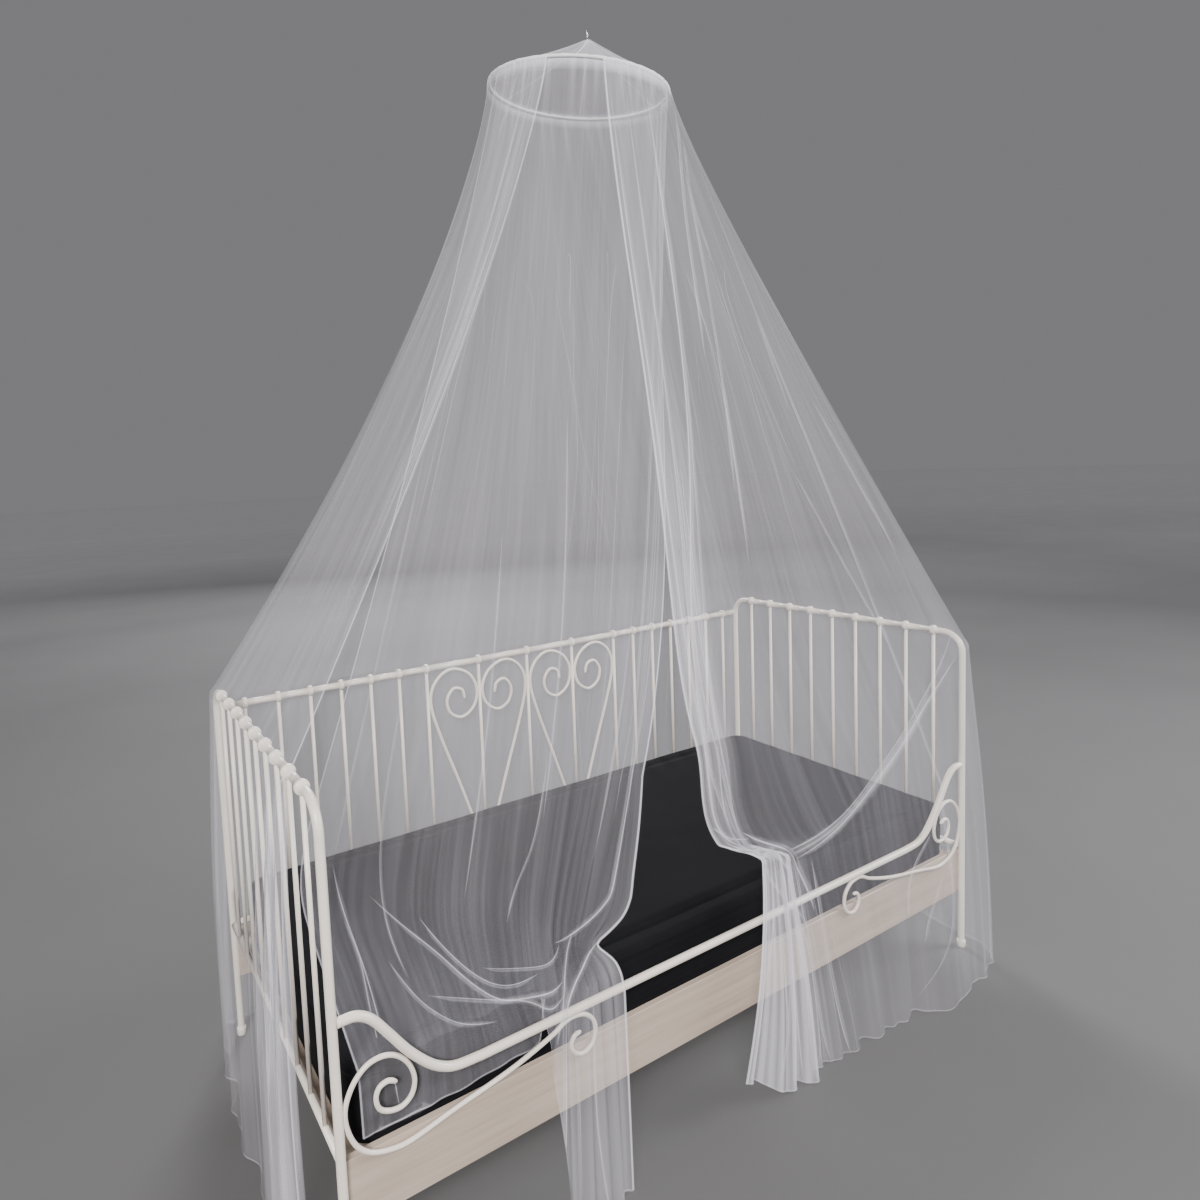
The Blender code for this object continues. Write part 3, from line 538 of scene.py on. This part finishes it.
def on_cloth(values, places):
    """Values of a grid at fractional column and row numbers, linear between its points."""
    col = np.clip(places[:, 0], 0, values.shape[0] - 1.001)
    row = np.clip(places[:, 1], 0, values.shape[1] - 1.001)
    i, j = col.astype(int), row.astype(int)
    p, q = (col - i)[:, None], (row - j)[:, None]
    return ((1 - p) * (1 - q) * values[i, j] + p * (1 - q) * values[i + 1, j]
            + (1 - p) * q * values[i, j + 1] + p * q * values[i + 1, j + 1])


def eased(path, reach):
    """A path whose small waves are averaged out over that many places to either side."""
    reach = min(reach, (len(path) - 1) // 2)
    padded = np.concatenate([2 * path[:1] - path[reach:0:-1], path, 2 * path[-1:] - path[-2:-reach - 2:-1]])
    bell = np.hanning(2 * reach + 3)[1:-1]
    return np.stack([np.convolve(padded[:, k], bell / bell.sum(), "valid") for k in range(3)], 1)


def with_folds(sheet, faces, uv, dense, folds):
    """The cloth with its pressed folds and turned hems: arched strips carried along curves on it.

    Each fold is (places, half width, cover, taper), its places in fractional column and row numbers:
    point(s, j) = cloth(s) + across(s) . j width + square(s) . 0.6 width (1 - j squared)"""
    out, sheer_rim = square_to(sheet), -0.72
    j = np.array([-1.0, -0.55, 0.0, 0.55, 1.0])
    bow = 1 - j ** 2
    shapes, uvs, marks = [(sheet.reshape(-1, 3), faces)], [uv.reshape(-1, 2)], [dense.ravel()]
    for places, half, cover, taper in folds:
        on, square = on_cloth(sheet, places), unit(on_cloth(out, places))
        if taper:
            on, square = eased(on, 12), unit(eased(square, 12))
        across = unit(np.cross(square, unit(np.gradient(on, axis=0))))
        s = np.linspace(0, 1, len(places))
        narrow = half * (np.clip(7 * np.minimum(s, 1 - s), 0.05, 1) if taper else 1 + 0 * s)[:, None, None]
        aside = narrow * j[:, None]
        raised = 0.0006 + 0.6 * narrow * bow[:, None]
        strip = on[:, None] + aside * across[:, None] + raised * square[:, None]
        shapes.append((strip.reshape(-1, 3), grid_faces(len(places), len(j))))
        uvs.append((on_cloth(uv, places)[:, None] + aside * np.array([1.0, 0.0])).reshape(-1, 2))
        marks.append((cover * bow + sheer_rim * (1 - bow) + 0 * s[:, None]).ravel())
    points, faces = together(shapes)
    return points, faces, (np.concatenate(uvs), np.concatenate(marks))


def add_net(name, sheet, faces, uv, dense, folds, finish, replaced):
    points, faces, cloth = with_folds(sheet, faces, uv, dense, folds)
    return add_piece(name, points, faces, finish, "white_net", [replaced], cloth)


roof_net = net_cloth("roof_net", 0.36, 0.85)
ROOF_COLS, ROOF_ROWS, GORE, FIRST_SEAM = 240, 40, 60, 53   # the last two in degrees
SLOPE = 0.3   # metres from rim to tip
deg = (np.arange(ROOF_COLS) * 360 / ROOF_COLS)[:, None]
t = np.linspace(0, 1, ROOF_ROWS)[None, :]
a = np.radians(deg)
rim = on_hoop(deg, HOOP_R - 0.001, 0.0046)
tip = APEX + 0.0055 * towards(deg)
sag = 0.010 * np.sin(np.pi * t) * (0.4 + 0.6 * np.sin(3 * a) ** 2)
tuck = (0.0010 * np.sin(a * 17 + 2 * np.sin(5 * a)) * (1 - t) * np.exp(-6 * t)
        + 0.0010 * np.sin(a * 11 + np.sin(3 * a)) * np.sin(np.pi * t))
roof = rim + (tip - rim) * t[..., None] - (sag + tuck)[..., None] * UPRIGHT
roof_dense = 0.8 * np.exp(-(t * SLOPE / 0.010) ** 2) + np.exp(-((1 - t) * SLOPE / 0.02) ** 2) + 0 * a
roof_uv = np.stack(np.broadcast_arrays(a * HOOP_R, t * 0.29), -1)
gore = np.linspace(0, ROOF_ROWS - 1, 60)
seam_cols = (FIRST_SEAM + GORE * np.arange(6)) * ROOF_COLS / 360
seams = [(np.stack([np.full(60, col), gore], 1), 0.0026, 1.0, False) for col in seam_cols]
roof_piece = add_net("roof_cone", roof, grid_faces(ROOF_COLS, ROOF_ROWS, wrap_rows=True), roof_uv,
                     np.clip(roof_dense, 0, 1), seams, roof_net, "roof")

# ==== main net panel ====
# One wide panel sewn into the hoop's sleeve. It falls over the left end rail, the back rail and
# the right end rail, and its front edge is drawn back along a curve into a gathered tail.
net_white = net_cloth("net_white", 0.085, 0.60)
NET_R, NET_DROP, RAIL_CLEAR, BELLY = HOOP_R + 0.0047, 0.0026, 0.0178, 0.015
KNOT_SWING = np.array([-0.0615, 0.0375, 0.0])   # how far the gathered edge goes aside above its knot
MAIN = np.array([   # lengths in millimetres, angles in degrees, flare a power
    # hoop, rail x, y and z, out, foot x, y and z, pleat, puff, sway, flare, steps to the next row
    ( 216, -1020, -345, 1020, 180, -1075, -500,  3, 12, 12,    0, 1.24, 2),
    ( 213, -1020, -290, 1020, 180, -1110, -420,  3, 16, 10,    0, 1.28, 3),
    ( 208, -1020, -200, 1020, 180, -1085, -290,  3, 16,  8,    0, 1.32, 3),
    ( 200, -1020,  -60, 1020, 180, -1085, -100,  3, 12,  4,    0, 1.35, 3),
    ( 188, -1020,  130, 1020, 180, -1095,  100,  3, 10,  0,    0, 1.36, 3),
    ( 172, -1020,  330, 1020, 180, -1075,  330,  3,  8,  0,    0, 1.36, 2),
    ( 160, -1020,  430, 1018, 172, -1065,  450,  3,  6,  0,    0, 1.36, 2),
    ( 152, -1020,  470,  985, 135, -1050,  520,  3,  3,  0,    0, 1.36, 2),
    ( 142,  -960,  470,  966,  92,  -960,  535,  3,  6,  0,    0, 1.24, 2),
    ( 120,  -640,  470,  965,  90,  -640,  545,  3, 14,  0,    0, 1.20, 4),
    (  90,     0,  470,  965,  90,     0,  545,  3, 16,  0,    0, 1.15, 4),
    (  60,   640,  470,  965,  90,   640,  545,  3, 14,  0,    0, 1.15, 3),
    (  38,   960,  470,  966,  88,   960,  535,  3,  6,  0,    0, 1.15, 2),
    (  28,  1020,  470,  985,  45,  1050,  520,  3,  3,  0,    0, 1.15, 2),
    (  20,  1020,  430, 1018,   8,  1065,  450,  3,  6,  0,    0, 1.12, 2),
    (   0,  1020,  100, 1020,   0,  1080,  110,  3, 10,  4,    0, 1.10, 3),
    ( -22,  1020, -280, 1020,   0,  1080, -300,  3,  8,  8,    0, 1.08, 2),
    ( -32,  1020, -430, 1018,  -8,  1070, -490,  3,  4,  8,    0, 1.10, 2),
    ( -38,  1020, -470,  980, -50,  1030, -560,  3,  4,  8,    0, 1.11, 2),
    ( -46,   930, -474,  955, -88,   920, -585,  3, 10, 10,    0, 1.12, 3),
    ( -59,   740, -476,  790, -90,   740, -610,  3, 14, 14,    0, 1.14, 3),
    ( -72,   520, -476,  635, -90,   560, -560,  3, 16, 18,  -30, 1.18, 3),
    ( -84,   340, -476,  570, -90,   400, -555,  3, 14, 20,  -55, 1.22, 3),
    ( -94,   215, -474,  558, -90,   270, -550,  3, 12, 20, -100, 1.30, 3),
    (-103,   150, -472,  562, -90,   120, -555,  3, 12, 20, -115, 1.42, 3),
    (-111.5,    80, -470,  575, -90,   -55, -535, 90,  8, 20, -110, 1.50, 0),
])
MAIN[:, [1, 2, 3, 5, 6, 7, 8, 9, 10]] /= 1000


def swell(value, low, high):
    """Smooth rise from 0 at low to 1 at high."""
    t = np.clip((value - low) / (high - low), 0, 1)
    return t * t * (3 - 2 * t)


def between_rows(table, u):
    """Smooth values between a table's rows at column places u, never past its own rows.

    Each row's slope is the harmonic mean of its neighbours' slopes, or none where they disagree."""
    at = np.concatenate([[0], np.cumsum(table[:-1, -1])])
    values = table[:, :-1]
    step = np.diff(at)[:, None]
    rate = np.diff(values, axis=0) / step
    slope = np.zeros_like(values)
    product = rate[1:] * rate[:-1]
    total = rate[1:] + rate[:-1]
    slope[1:-1] = np.where(product > 0, 2 * product / np.where(total == 0, 1, total), 0)
    slope[0], slope[-1] = rate[0], rate[-1]
    k = np.clip(np.searchsorted(at, u, side="right") - 1, 0, len(at) - 2)
    h = step[k]
    t = ((u - at[k]) / h[:, 0])[:, None]
    return ((1 + 2 * t) * (1 - t) ** 2 * values[k] + t * (1 - t) ** 2 * h * slope[k]
            + t ** 2 * (3 - 2 * t) * values[k + 1] + t ** 2 * (t - 1) * h * slope[k + 1])


def paced(t, power):
    """Shares of the way in x, y and z: a power of t on the level, and t itself in height."""
    return np.stack([t ** power, t ** power, t + 0 * power], -1)


def hung_main(u, above, lip_deg, below):
    """Main panel: each column u falls from the hoop, rolls over its rail and drops to its foot.

    Above the rail it runs to the rail by the flare power of t, swells by puff times a half sine and
    waves by the pleat; over the rail it keeps a circle about the tube; below it bellies out a little.
    The gathered edge swings in over the bed and turns back sharply at its knot."""
    row = between_rows(MAIN, u)
    out, away = towards(row[:, 4:5]), towards(row[:, :1])
    rail, foot = row[:, None, 1:4], row[:, None, 5:8]
    pleat, puff, sway, flare = (row[:, k][:, None] for k in (8, 9, 10, 11))
    uneven_depth = (0.45 + 0.55 * np.sin(0.31 * u + 0.5) ** 2) * (1 - 0.6 * np.exp(-((u - 50) / 6.5) ** 4))
    wave = (uneven_depth * np.cos(np.pi * u + 0.5 * np.sin(0.53 * u)) + 0.35 * np.cos(1.7 * u + 0.6))[:, None]
    start = on_hoop(row[:, 0], NET_R, -NET_DROP)[:, None]
    e = np.radians(lip_deg)[None, :, None]
    lips = rail + RAIL_CLEAR * (np.cos(e) * out + np.sin(e) * UPRIGHT)
    t = above[None, :]
    first = start + (lips[:, :1] - start) * paced(t, flare)
    first = first + away * (puff * np.sin(np.pi * t) + 1.6 * pleat * wave * t * (1 - t))[..., None]
    first[..., 0] += sway * np.sin(np.pi * t ** 3.4)
    # the swing grows over the lower part of the last columns, and is gone again at the rail
    turn_from = 0.984 - 0.009 * swell(u, 62.0, 66.0)[:, None] + 0.003 * np.sin(2.9 * u)[:, None]
    swing = swell(u, 57.0, 62.0)[:, None] * swell(t, 0.84, 0.98) * (1 - swell(t, turn_from, 1.0))
    first = first + swing[..., None] * KNOT_SWING
    press = 0.35 * pleat * (wave + 1.35)
    t = below[None, :]
    last = lips[:, -1:] + (foot - lips[:, -1:]) * paced(t, 1.2)
    last = last + out * (press + pleat * wave * t + BELLY * np.sin(np.pi * t))[..., None]
    return np.concatenate([first, lips + out * press[..., None], last], axis=1)


def from_top(sheet):
    """Metres of cloth from the top edge down each column."""
    steps = np.linalg.norm(np.diff(sheet, axis=1), axis=-1)
    return np.concatenate([np.zeros((len(sheet), 1)), np.cumsum(steps, axis=1)], axis=1)


def flat_places(sheet, down_len, fullness):
    """Places on the flat cloth: metres along the foot times the fullness, and metres down."""
    steps = np.linalg.norm(np.diff(sheet[:, -1], axis=0), axis=-1)
    along = fullness * np.concatenate([[0], np.cumsum(steps)])
    return np.stack([np.broadcast_to(along[:, None], down_len.shape), down_len], -1)


def placed(curve, u, down_len):
    """A curve on the cloth, from (column, metres down) pairs to fractional column and row numbers."""
    col = np.interp(curve[:, 0], u, np.arange(len(u)))
    near = np.clip(np.rint(col).astype(int), 0, len(u) - 1)
    row = [np.interp(d, down_len[k], np.arange(down_len.shape[1])) for d, k in zip(curve[:, 1], near)]
    return np.stack([col, row], 1)


def pressed(table, u, down_len):
    """The table's folds: a crisp line of 0.7 the half width, over a soft shoulder of four times it."""
    made = []
    for half, cover, *curve in table:
        places = placed(rounded(np.array(curve) / (1, 100), 12), u, down_len)
        made += [(places, 0.7 * half / 1000, cover, True), (places, 4 * half / 1000, 0.16 * cover, True)]
    return made


def fine_lines(number, low, high, top, bottom, drift):
    """Seeded fine creases that run down between two columns: curve, half width and cover."""
    for _ in range(number):
        at, sway = rng.uniform(low, high), rng.uniform(-drift, drift, 2)
        start, end = top + rng.uniform(0, 0.15), bottom - rng.uniform(0, 0.25)
        curve = [(at, start), (at + sway[0], (start + end) / 2), (at + sway.sum(), end)]
        yield np.clip(curve, 0.3, None), rng.uniform(0.0012, 0.0026), rng.uniform(0.15, 0.6)


def faint_lines(number, last, top, longest, drift, thickest, cover):
    """Seeded faint creases that wander down from near the top; columns and metres stay over 0.5."""
    for _ in range(number):
        at, start, length = rng.uniform(1.5, last), rng.uniform(0.0, top), rng.uniform(0.5, longest)
        sway = rng.uniform(-drift, drift, 2)
        curve = [(at, start), (at + sway[0], start + 0.5 * length), (at + sway.sum(), start + length)]
        yield np.clip(curve, 0.5, last + 1), rng.uniform(0.0012, thickest), rng.uniform(0.05, cover)


def as_folds(lines, u, down_len):
    return [(placed(rounded(curve, 20), u, down_len), half, cover, True) for curve, half, cover in lines]


def hemmed(u, down_len, inset, sides, foot_cover):
    """The turned hems: down both side edges, each with its half width and cover, and along the foot."""
    rows, cols = down_len.shape[1], len(u)
    down = np.linspace(0, rows - 1, 220)
    made = [(np.stack([np.full(220, col), down], 1), half, cover, False)
            for col, (half, cover) in zip((0.4, cols - 1.4), sides)]
    foot = np.stack([np.linspace(0, cols - 1, cols * 2), np.full(cols * 2, rows - 1 - inset)], 1)
    return made + [(foot, 0.0032, foot_cover, False)]


count = int(MAIN[:, -1].sum())
# ten places to a column near the two side edges, and six between
tenths, sixths = np.arange(count * 10 + 1) / 10, np.arange(84, 277) / 6
u = np.unique(np.concatenate([tenths[:141], sixths, tenths[460:]]))
above = np.concatenate([np.linspace(0, 0.93, 58), np.linspace(0.93, 1, 23)[1:-1]])
below = np.linspace(0, 1, 37)[1:]
LIPS = np.array([36.0, 24.0, 12.0, 1.0, -10.0])
sheet = hung_main(u, above, LIPS, below)
down_len = from_top(sheet)
share = down_len / down_len[:, -1:]
lip_row = len(above) + 2
lip_at = down_len[:, lip_row:lip_row + 1]
fold_u = u[:, None]
# the gathered front edge, its tail below the rail, and the bunched left edge
strip = swell(fold_u, 60.6, 62.2) * swell(down_len, 0.5, 1.5)
tail = swell(fold_u, 59.0, 60.4) * swell(down_len - lip_at, -0.12, 0.06)
drop_left = swell(-fold_u, -6.5, -4.0) * swell(down_len - lip_at, -0.05, 0.10)
# small folds between the main ones: they come and go along the panel and grow towards the floor
small = (np.sin(2 * np.pi * fold_u * 0.73 + 1.3 * np.sin(fold_u * 0.7))
         + 0.6 * np.sin(2 * np.pi * fold_u * 1.31 + 2.1))
depth = (0.0045 * (0.15 + share ** 2) * (0.5 + 0.5 * np.sin(0.9 * fold_u + 3 * share))
         + 0.0025 * (strip + tail + drop_left))
at_knot = swell(fold_u, 60.5, 62.5) * np.exp(-((down_len - lip_at + 0.05) / 0.07) ** 2)
depth = depth + 0.004 * at_knot * np.sin(60 * down_len + 2 * fold_u)
sheet = sheet + square_to(sheet) * (small * depth)[..., None]
top_edge = np.exp(-(down_len / 0.012) ** 2)
uneven_pull = (np.sin(2 * np.pi * fold_u * 0.83 + 2.4 * np.sin(1.1 * fold_u))
               * np.sin(1.9 * fold_u + 1.3 * np.sin(0.37 * fold_u)))
gather = np.exp(-down_len / 0.09) * np.clip(uneven_pull, 0, 1)
in_tail = np.sin(2 * np.pi * fold_u * 2.3 + 1.7 * np.sin(1.3 * fold_u + 4 * share))
streaky = 1 + 0.35 * small / 1.6 + 0.45 * tail * in_tail
bunched = np.clip(0.32 * strip + 0.16 * tail + 0.16 * drop_left, 0, 0.6) * streaky
dense = np.clip(0.8 * top_edge + 0.35 * gather + bunched, 0, 1)

# half width in millimetres, cover, then the curve on the cloth as (column, centimetres down)
MAIN_FOLDS = [
    (4, .9, (57.5, 3), (58.8, 45), (60.3, 92), (62.6, 127), (64.1, 157), (64.7, 180), (65, 196), (64.6, 207)),
    (3, .7, (65.3, 5), (65, 60), (64.8, 120), (64.6, 170), (64.3, 204)),
    (3, .6, (62, 8), (62.6, 70), (63.4, 120), (64.2, 160), (64.9, 195)),
    (2.6, .5, (59.4, 70), (61.2, 125), (62.6, 170), (63.4, 205)),
    (2.6, .5, (50.1, 2), (50.5, 100), (50.6, 202), (50.1, 213), (50.4, 221), (50.3, 237), (50.6, 255),
     (52.9, 266)),
    (2.8, .6, (50.4, 6), (54.1, 25), (56.1, 49), (56.9, 75)), (2.2, .4, (51.3, 15), (53.7, 32), (53, 50)),
    (2.6, .5, (56, 81), (56.4, 98), (56.9, 130)), (2.6, .5, (52.9, 22), (55.6, 74), (56.9, 111)),
    (2.4, .4, (48.6, 93), (48.1, 146)), (2.2, .35, (50.4, 66), (51, 94)), (2.4, .4, (52.3, 109), (50.7, 168)),
    (3.4, .6, (47.9, 185), (49.9, 189), (51.7, 195.5), (53.3, 200.5), (55.6, 206.3), (58.4, 209.8),
     (60.2, 213.4)),
    (2.4, .6, (46.6, 178), (49.9, 187), (51.7, 193.5), (53.3, 198.5), (55.4, 204.5), (58.6, 208), (61, 212)),
    (8, .2, (49.9, 188), (51.7, 194.5), (53.3, 199.5), (55.5, 205.5), (58.5, 209), (60.6, 212.7)),
    (4.5, .7, (62.9, 184), (62.8, 192), (63, 199), (63.4, 204), (64.5, 209), (65.6, 212)),
    (5, .8, (61.6, 199), (60.6, 203), (60.4, 208), (60.9, 213), (60.3, 217), (59.8, 221), (59.6, 227)),
    (4, .6, (65.6, 212), (64.2, 211), (62.2, 209.5), (60.9, 208.5)),
    (4, .6, (65.5, 195), (63.8, 200), (61.2, 201)),
    (4.5, .6, (65.9, 204), (64.6, 207), (62.8, 207.5), (61.4, 205)),
    (3, .6, (62.5, 226), (60.9, 229.5), (60.7, 234.2)),
    (3.5, .7, (65.7, 214), (64.5, 219), (63.2, 224.5), (62.5, 227)),
    (4, .6, (64.6, 210), (62.6, 215), (61.3, 221)), (2.4, .5, (51.3, 224), (52.7, 230), (52.9, 243)),
    (2.4, .4, (50.9, 237), (52.1, 244), (52.4, 251)),
    (4, .7, (64.4, 216), (64.7, 236), (65.5, 244), (65.8, 255)),
    (3.5, .6, (58.8, 213), (59.2, 244), (58.6, 280)), (3, .6, (60.4, 214), (61, 246), (60.2, 278)),
    (3, .6, (62.2, 215), (62.7, 242), (62.5, 274)), (2.6, .5, (63.6, 214), (63.4, 246), (64.2, 272)),
    (2.8, .5, (34.9, 186), (35.3, 230), (35.7, 272)), (2.4, .4, (8.7, 3), (10.4, 21)),
    (2.8, .6, (3.2, 2), (2.1, 80), (.7, 150)), (2.4, .4, (5.6, 2), (5, 90), (3.4, 170)),
    (4, .6, (.8, 183), (1, 220), (.6, 255)), (3.5, .6, (1.7, 183), (1.9, 220), (2.2, 260)),
    (3.5, .5, (2.6, 183), (2.7, 225), (2.4, 262)), (3.2, .5, (3.5, 183), (3.9, 220), (3.6, 260)),
    (3, .4, (4.4, 183), (4.6, 230), (5.1, 265)), (2.8, .4, (6.3, 185), (6.1, 230), (6.6, 260)),
]
rng = np.random.default_rng(7)
folds = pressed(MAIN_FOLDS, u, down_len)
folds += as_folds(faint_lines(46, 64.5, 0.5, 1.3, 1.3, 0.0022, 0.35), u, down_len)
# the number of fine lines, the columns they lie between, where they start and end, and their drift
for lines in ((26, 0.6, 8.5, 1.82, 2.7, 0.5), (14, 57.5, 65.0, 2.14, 2.8, 0.5),
              (9, 61.5, 65.3, 0.9, 2.05, 0.4), (12, 26.0, 37.0, 1.8, 2.7, 0.3)):
    folds += as_folds(fine_lines(*lines), u, down_len)
folds += hemmed(u, down_len, 0.18, ((0.0042, 0.9), (0.0042, 0.9)), 0.30)
main_piece = add_net("net_main_panel", sheet, grid_faces(*sheet.shape[:2]),
                     flat_places(sheet, down_len, 1.02), dense, folds, net_white, "net_main")

# ==== front-left net panel ====
# The second panel is drawn aside: it falls inside the hoop, lies over the mattress and drops
# over the front rail in a loose tail.
INNER_R, INNER_DROP = HOOP_R - 0.0022, 0.0044
INNER = np.array([   # lengths in millimetres, the hoop's angle in degrees
    # hoop, knee x, y and z, lip x, y and z, end x, y and z, pleat, sway, steps to the next row
    (172, -880,  330, 474, -972, -451, 477.5, -970, -451, 342,  2,  0, 2),
    (186, -805,  185, 474, -895, -451, 477.5, -890, -451, 342,  2,  0, 3),
    (200, -710,   10, 486, -800, -451,   478, -800, -451, 342,  3,  0, 3),
    (216, -580, -115, 505, -700, -451,   480, -670, -451, 350,  3,  0, 3),
    (230, -470, -190, 520, -605, -451,   486, -570, -451, 358,  3, 20, 1),
    (235, -460, -225, 519, -580, -452,   485, -556, -453, 450,  4, 25, 1),
    (240, -450, -260, 518, -555, -440,   484, -585, -494, 452, 10, 30, 2),
    (249, -450, -320, 515, -535, -474,   472, -580, -525, 330, 10, 50, 2),
    (258, -450, -350, 515, -520, -484,   470, -562, -545,   4, 10, 60, 3),
    (284, -430, -390, 520, -474, -484,   470, -520, -545,   4, 12, 70, 3),
    (312, -390, -400, 530, -430, -486,   470, -460, -550,   4, 12, 80, 3),
    (340, -330, -410, 560, -370, -486,   465, -405, -540,   4,  8, 95, 0),
])
INNER[:, 1:-1] /= 1000


def hung_inner(u, above, across, below):
    """Front-left panel: each column u falls from the hoop to the bed, lies there, then ends or drops.

    Above it runs to the knee by the power 1.12 of t and waves by the pleat; across the bed it is
    raised by the same wave, never under the bed's top; below it drops, or lies on."""
    row = between_rows(INNER, u)
    away = towards(row[:, :1])
    knee, lip, foot = (row[:, None, k:k + 3] for k in (1, 4, 7))
    pleat, sway = row[:, 10][:, None], row[:, 11][:, None]
    wave = (np.cos(np.pi * u) + 0.35 * np.cos(1.9 * u))[:, None]
    lift = 0.5 * pleat * (wave + 1.35)
    calm = 0.22 * pleat * (1.35 + 0.8 * np.cos(0.61 * u + 0.4)[:, None] + 0.2 * wave)
    start = on_hoop(row[:, 0], INNER_R, -INNER_DROP)[:, None]
    t = above[None, :]
    first = start + (knee - start) * paced(t, 1.12)
    bent = np.clip((t - 0.8) / 0.2, 0, 1) ** 2
    first = first + away * (pleat * wave * 0.9 * t * (1 - bent))[..., None]
    first[..., 0] += sway * np.sin(np.pi * t ** 1.8)
    first[..., 2] += lift * bent
    hangs = 1 / (1 + np.exp((foot[..., 2] - 0.42) / 0.02))
    m = across[None, :]
    middle = knee + (lip - knee) * m[..., None]
    middle[..., 2] += lift * (1 - m) + calm * m * (1 - hangs)
    middle[..., 1] -= 1.2 * lift * hangs * m ** 2
    t = below[None, :]
    last = lip + (foot - lip) * paced(t, 1 - 0.2 * hangs)
    last[..., 1] -= 1.2 * lift * hangs
    last[..., 2] += calm * (1 - hangs)
    return np.concatenate([first, middle, last], axis=1)


count = int(INNER[:, -1].sum())
u = np.arange(count * 14 + 1) / 14
KNEE_ROW = 69
inner = hung_inner(u, np.linspace(0, 1, KNEE_ROW + 1)[:-1], np.linspace(0, 1, 20)[:-1], np.linspace(0, 1, 50))
# the knee, where the panel meets the bed, is a soft bend
bell = np.hanning(19)[1:-1] / np.hanning(19).sum()
soft = np.stack([np.roll(inner, k - 8, axis=1) * bell[k] for k in range(17)]).sum(0)
near_knee = np.exp(-((np.arange(inner.shape[1]) - KNEE_ROW) / 9) ** 4)[None, :, None]
inner = inner + near_knee * (soft - inner)
# near its right edge the panel swings out above the bed, and is drawn in to a waist just over the rail
WAIST_WAY = np.array([0.854, -0.520, 0.0])   # level, and square to the view
WAIST = np.array([   # millimetres: height, and how far to the right
    (430, 0), (465, -6), (483, -14), (495, -30), (505, -46), (513, -43), (525, -20), (543, 10), (560, 26),
    (585, 34), (620, 31), (713, 20), (830, 0),
]) / 1000
curve = rounded(WAIST, 6)
drawn_in = np.interp(inner[..., 2], curve[:, 0], curve[:, 1]) * np.clip((u[:, None] - 19) / 7, 0, 1) ** 1.5
inner = inner + drawn_in[..., None] * WAIST_WAY
down_len = from_top(inner)
fold_u = u[:, None]
tail = swell(fold_u, 14.5, 16.5) * swell(down_len, 2.2, 2.32)
small = np.sin(2 * np.pi * fold_u * 0.61 + 1.1 * np.sin(fold_u))
gather = np.exp(-down_len / 0.09) * np.clip(np.sin(3.1 * fold_u + 2 * np.sin(fold_u)), 0, 1)
dense = np.clip(0.8 * np.exp(-(down_len / 0.012) ** 2) + 0.3 * gather + tail * (0.16 + 0.06 * small), 0, 1)
INNER_FOLDS = [
    (3.6, .7, (1.4, 217), (2, 231), (2.1, 253), (1.7, 278), (1.9, 293)),
    (3.6, .7, (3.4, 219), (6, 227), (7.1, 236), (8.7, 241), (10.4, 241), (13.9, 231), (16.6, 225)),
    (3, .6, (5.9, 219), (6.7, 227), (7.7, 234.4), (9.8, 238), (12.7, 229)),
    (2.8, .5, (3.6, 241.7), (4.4, 251.9), (5.5, 254.1), (6.6, 253.1), (8.6, 248.2)),
    (3, .5, (5.1, 249), (7.4, 243.2), (10.3, 240.8), (13.4, 236), (16.8, 228)),
    (3, .5, (1.9, 231.5), (2.1, 246.9), (1.6, 266.8), (1.3, 290)), (5, .4, (.6, 308), (2.2, 297), (4.2, 280)),
    (2.4, .4, (12.4, 175), (12.2, 193), (11.5, 202), (10.8, 208.5), (10.3, 216.8)),
    (2.8, .5, (17, 216), (14, 224), (10.5, 231.4), (8.5, 232.3)),
    (3.4, .7, (24.4, 5), (24, 80), (24.1, 160), (23.9, 205), (23.8, 211), (22.4, 214), (19.4, 214),
     (15.5, 216)),
    (3.6, .8, (25.7, 226.2), (22.1, 222.8), (19.3, 223.6), (17.5, 228.7), (16.3, 235.5), (15.9, 250.7),
     (15.8, 274)),
    (3, .5, (19.2, 214), (18.3, 217.5), (16, 230), (15.2, 239)), (2.6, .5, (21, 6), (22.4, 90), (24, 190)),
    (2.6, .4, (1, 100), (1.2, 170), (1.4, 217)), (2.6, .4, (3.1, 160), (3.4, 210), (4.4, 245)),
    (2.4, .4, (12.2, 90), (12.8, 140), (12.6, 190)), (2.6, .5, (18.5, 230), (19, 250), (18.3, 278)),
    (2.6, .5, (21.5, 230), (21.2, 255), (22, 275)), (2.2, .4, (7.9, 120), (8.4, 170), (8, 212)),
]
folds = pressed(INNER_FOLDS, u, down_len)
folds += as_folds(faint_lines(18, 24.5, 0.9, 1.2, 0.8, 0.002, 0.3), u, down_len)
folds += hemmed(u, down_len, 0.25, ((0.0036, 0.6), (0.0042, 0.9)), 0.35)
inner_piece = add_net("net_front_left_panel", inner, grid_faces(*inner.shape[:2]),
                      flat_places(inner, down_len, 1.5), dense, folds, net_white, "net_front_left")
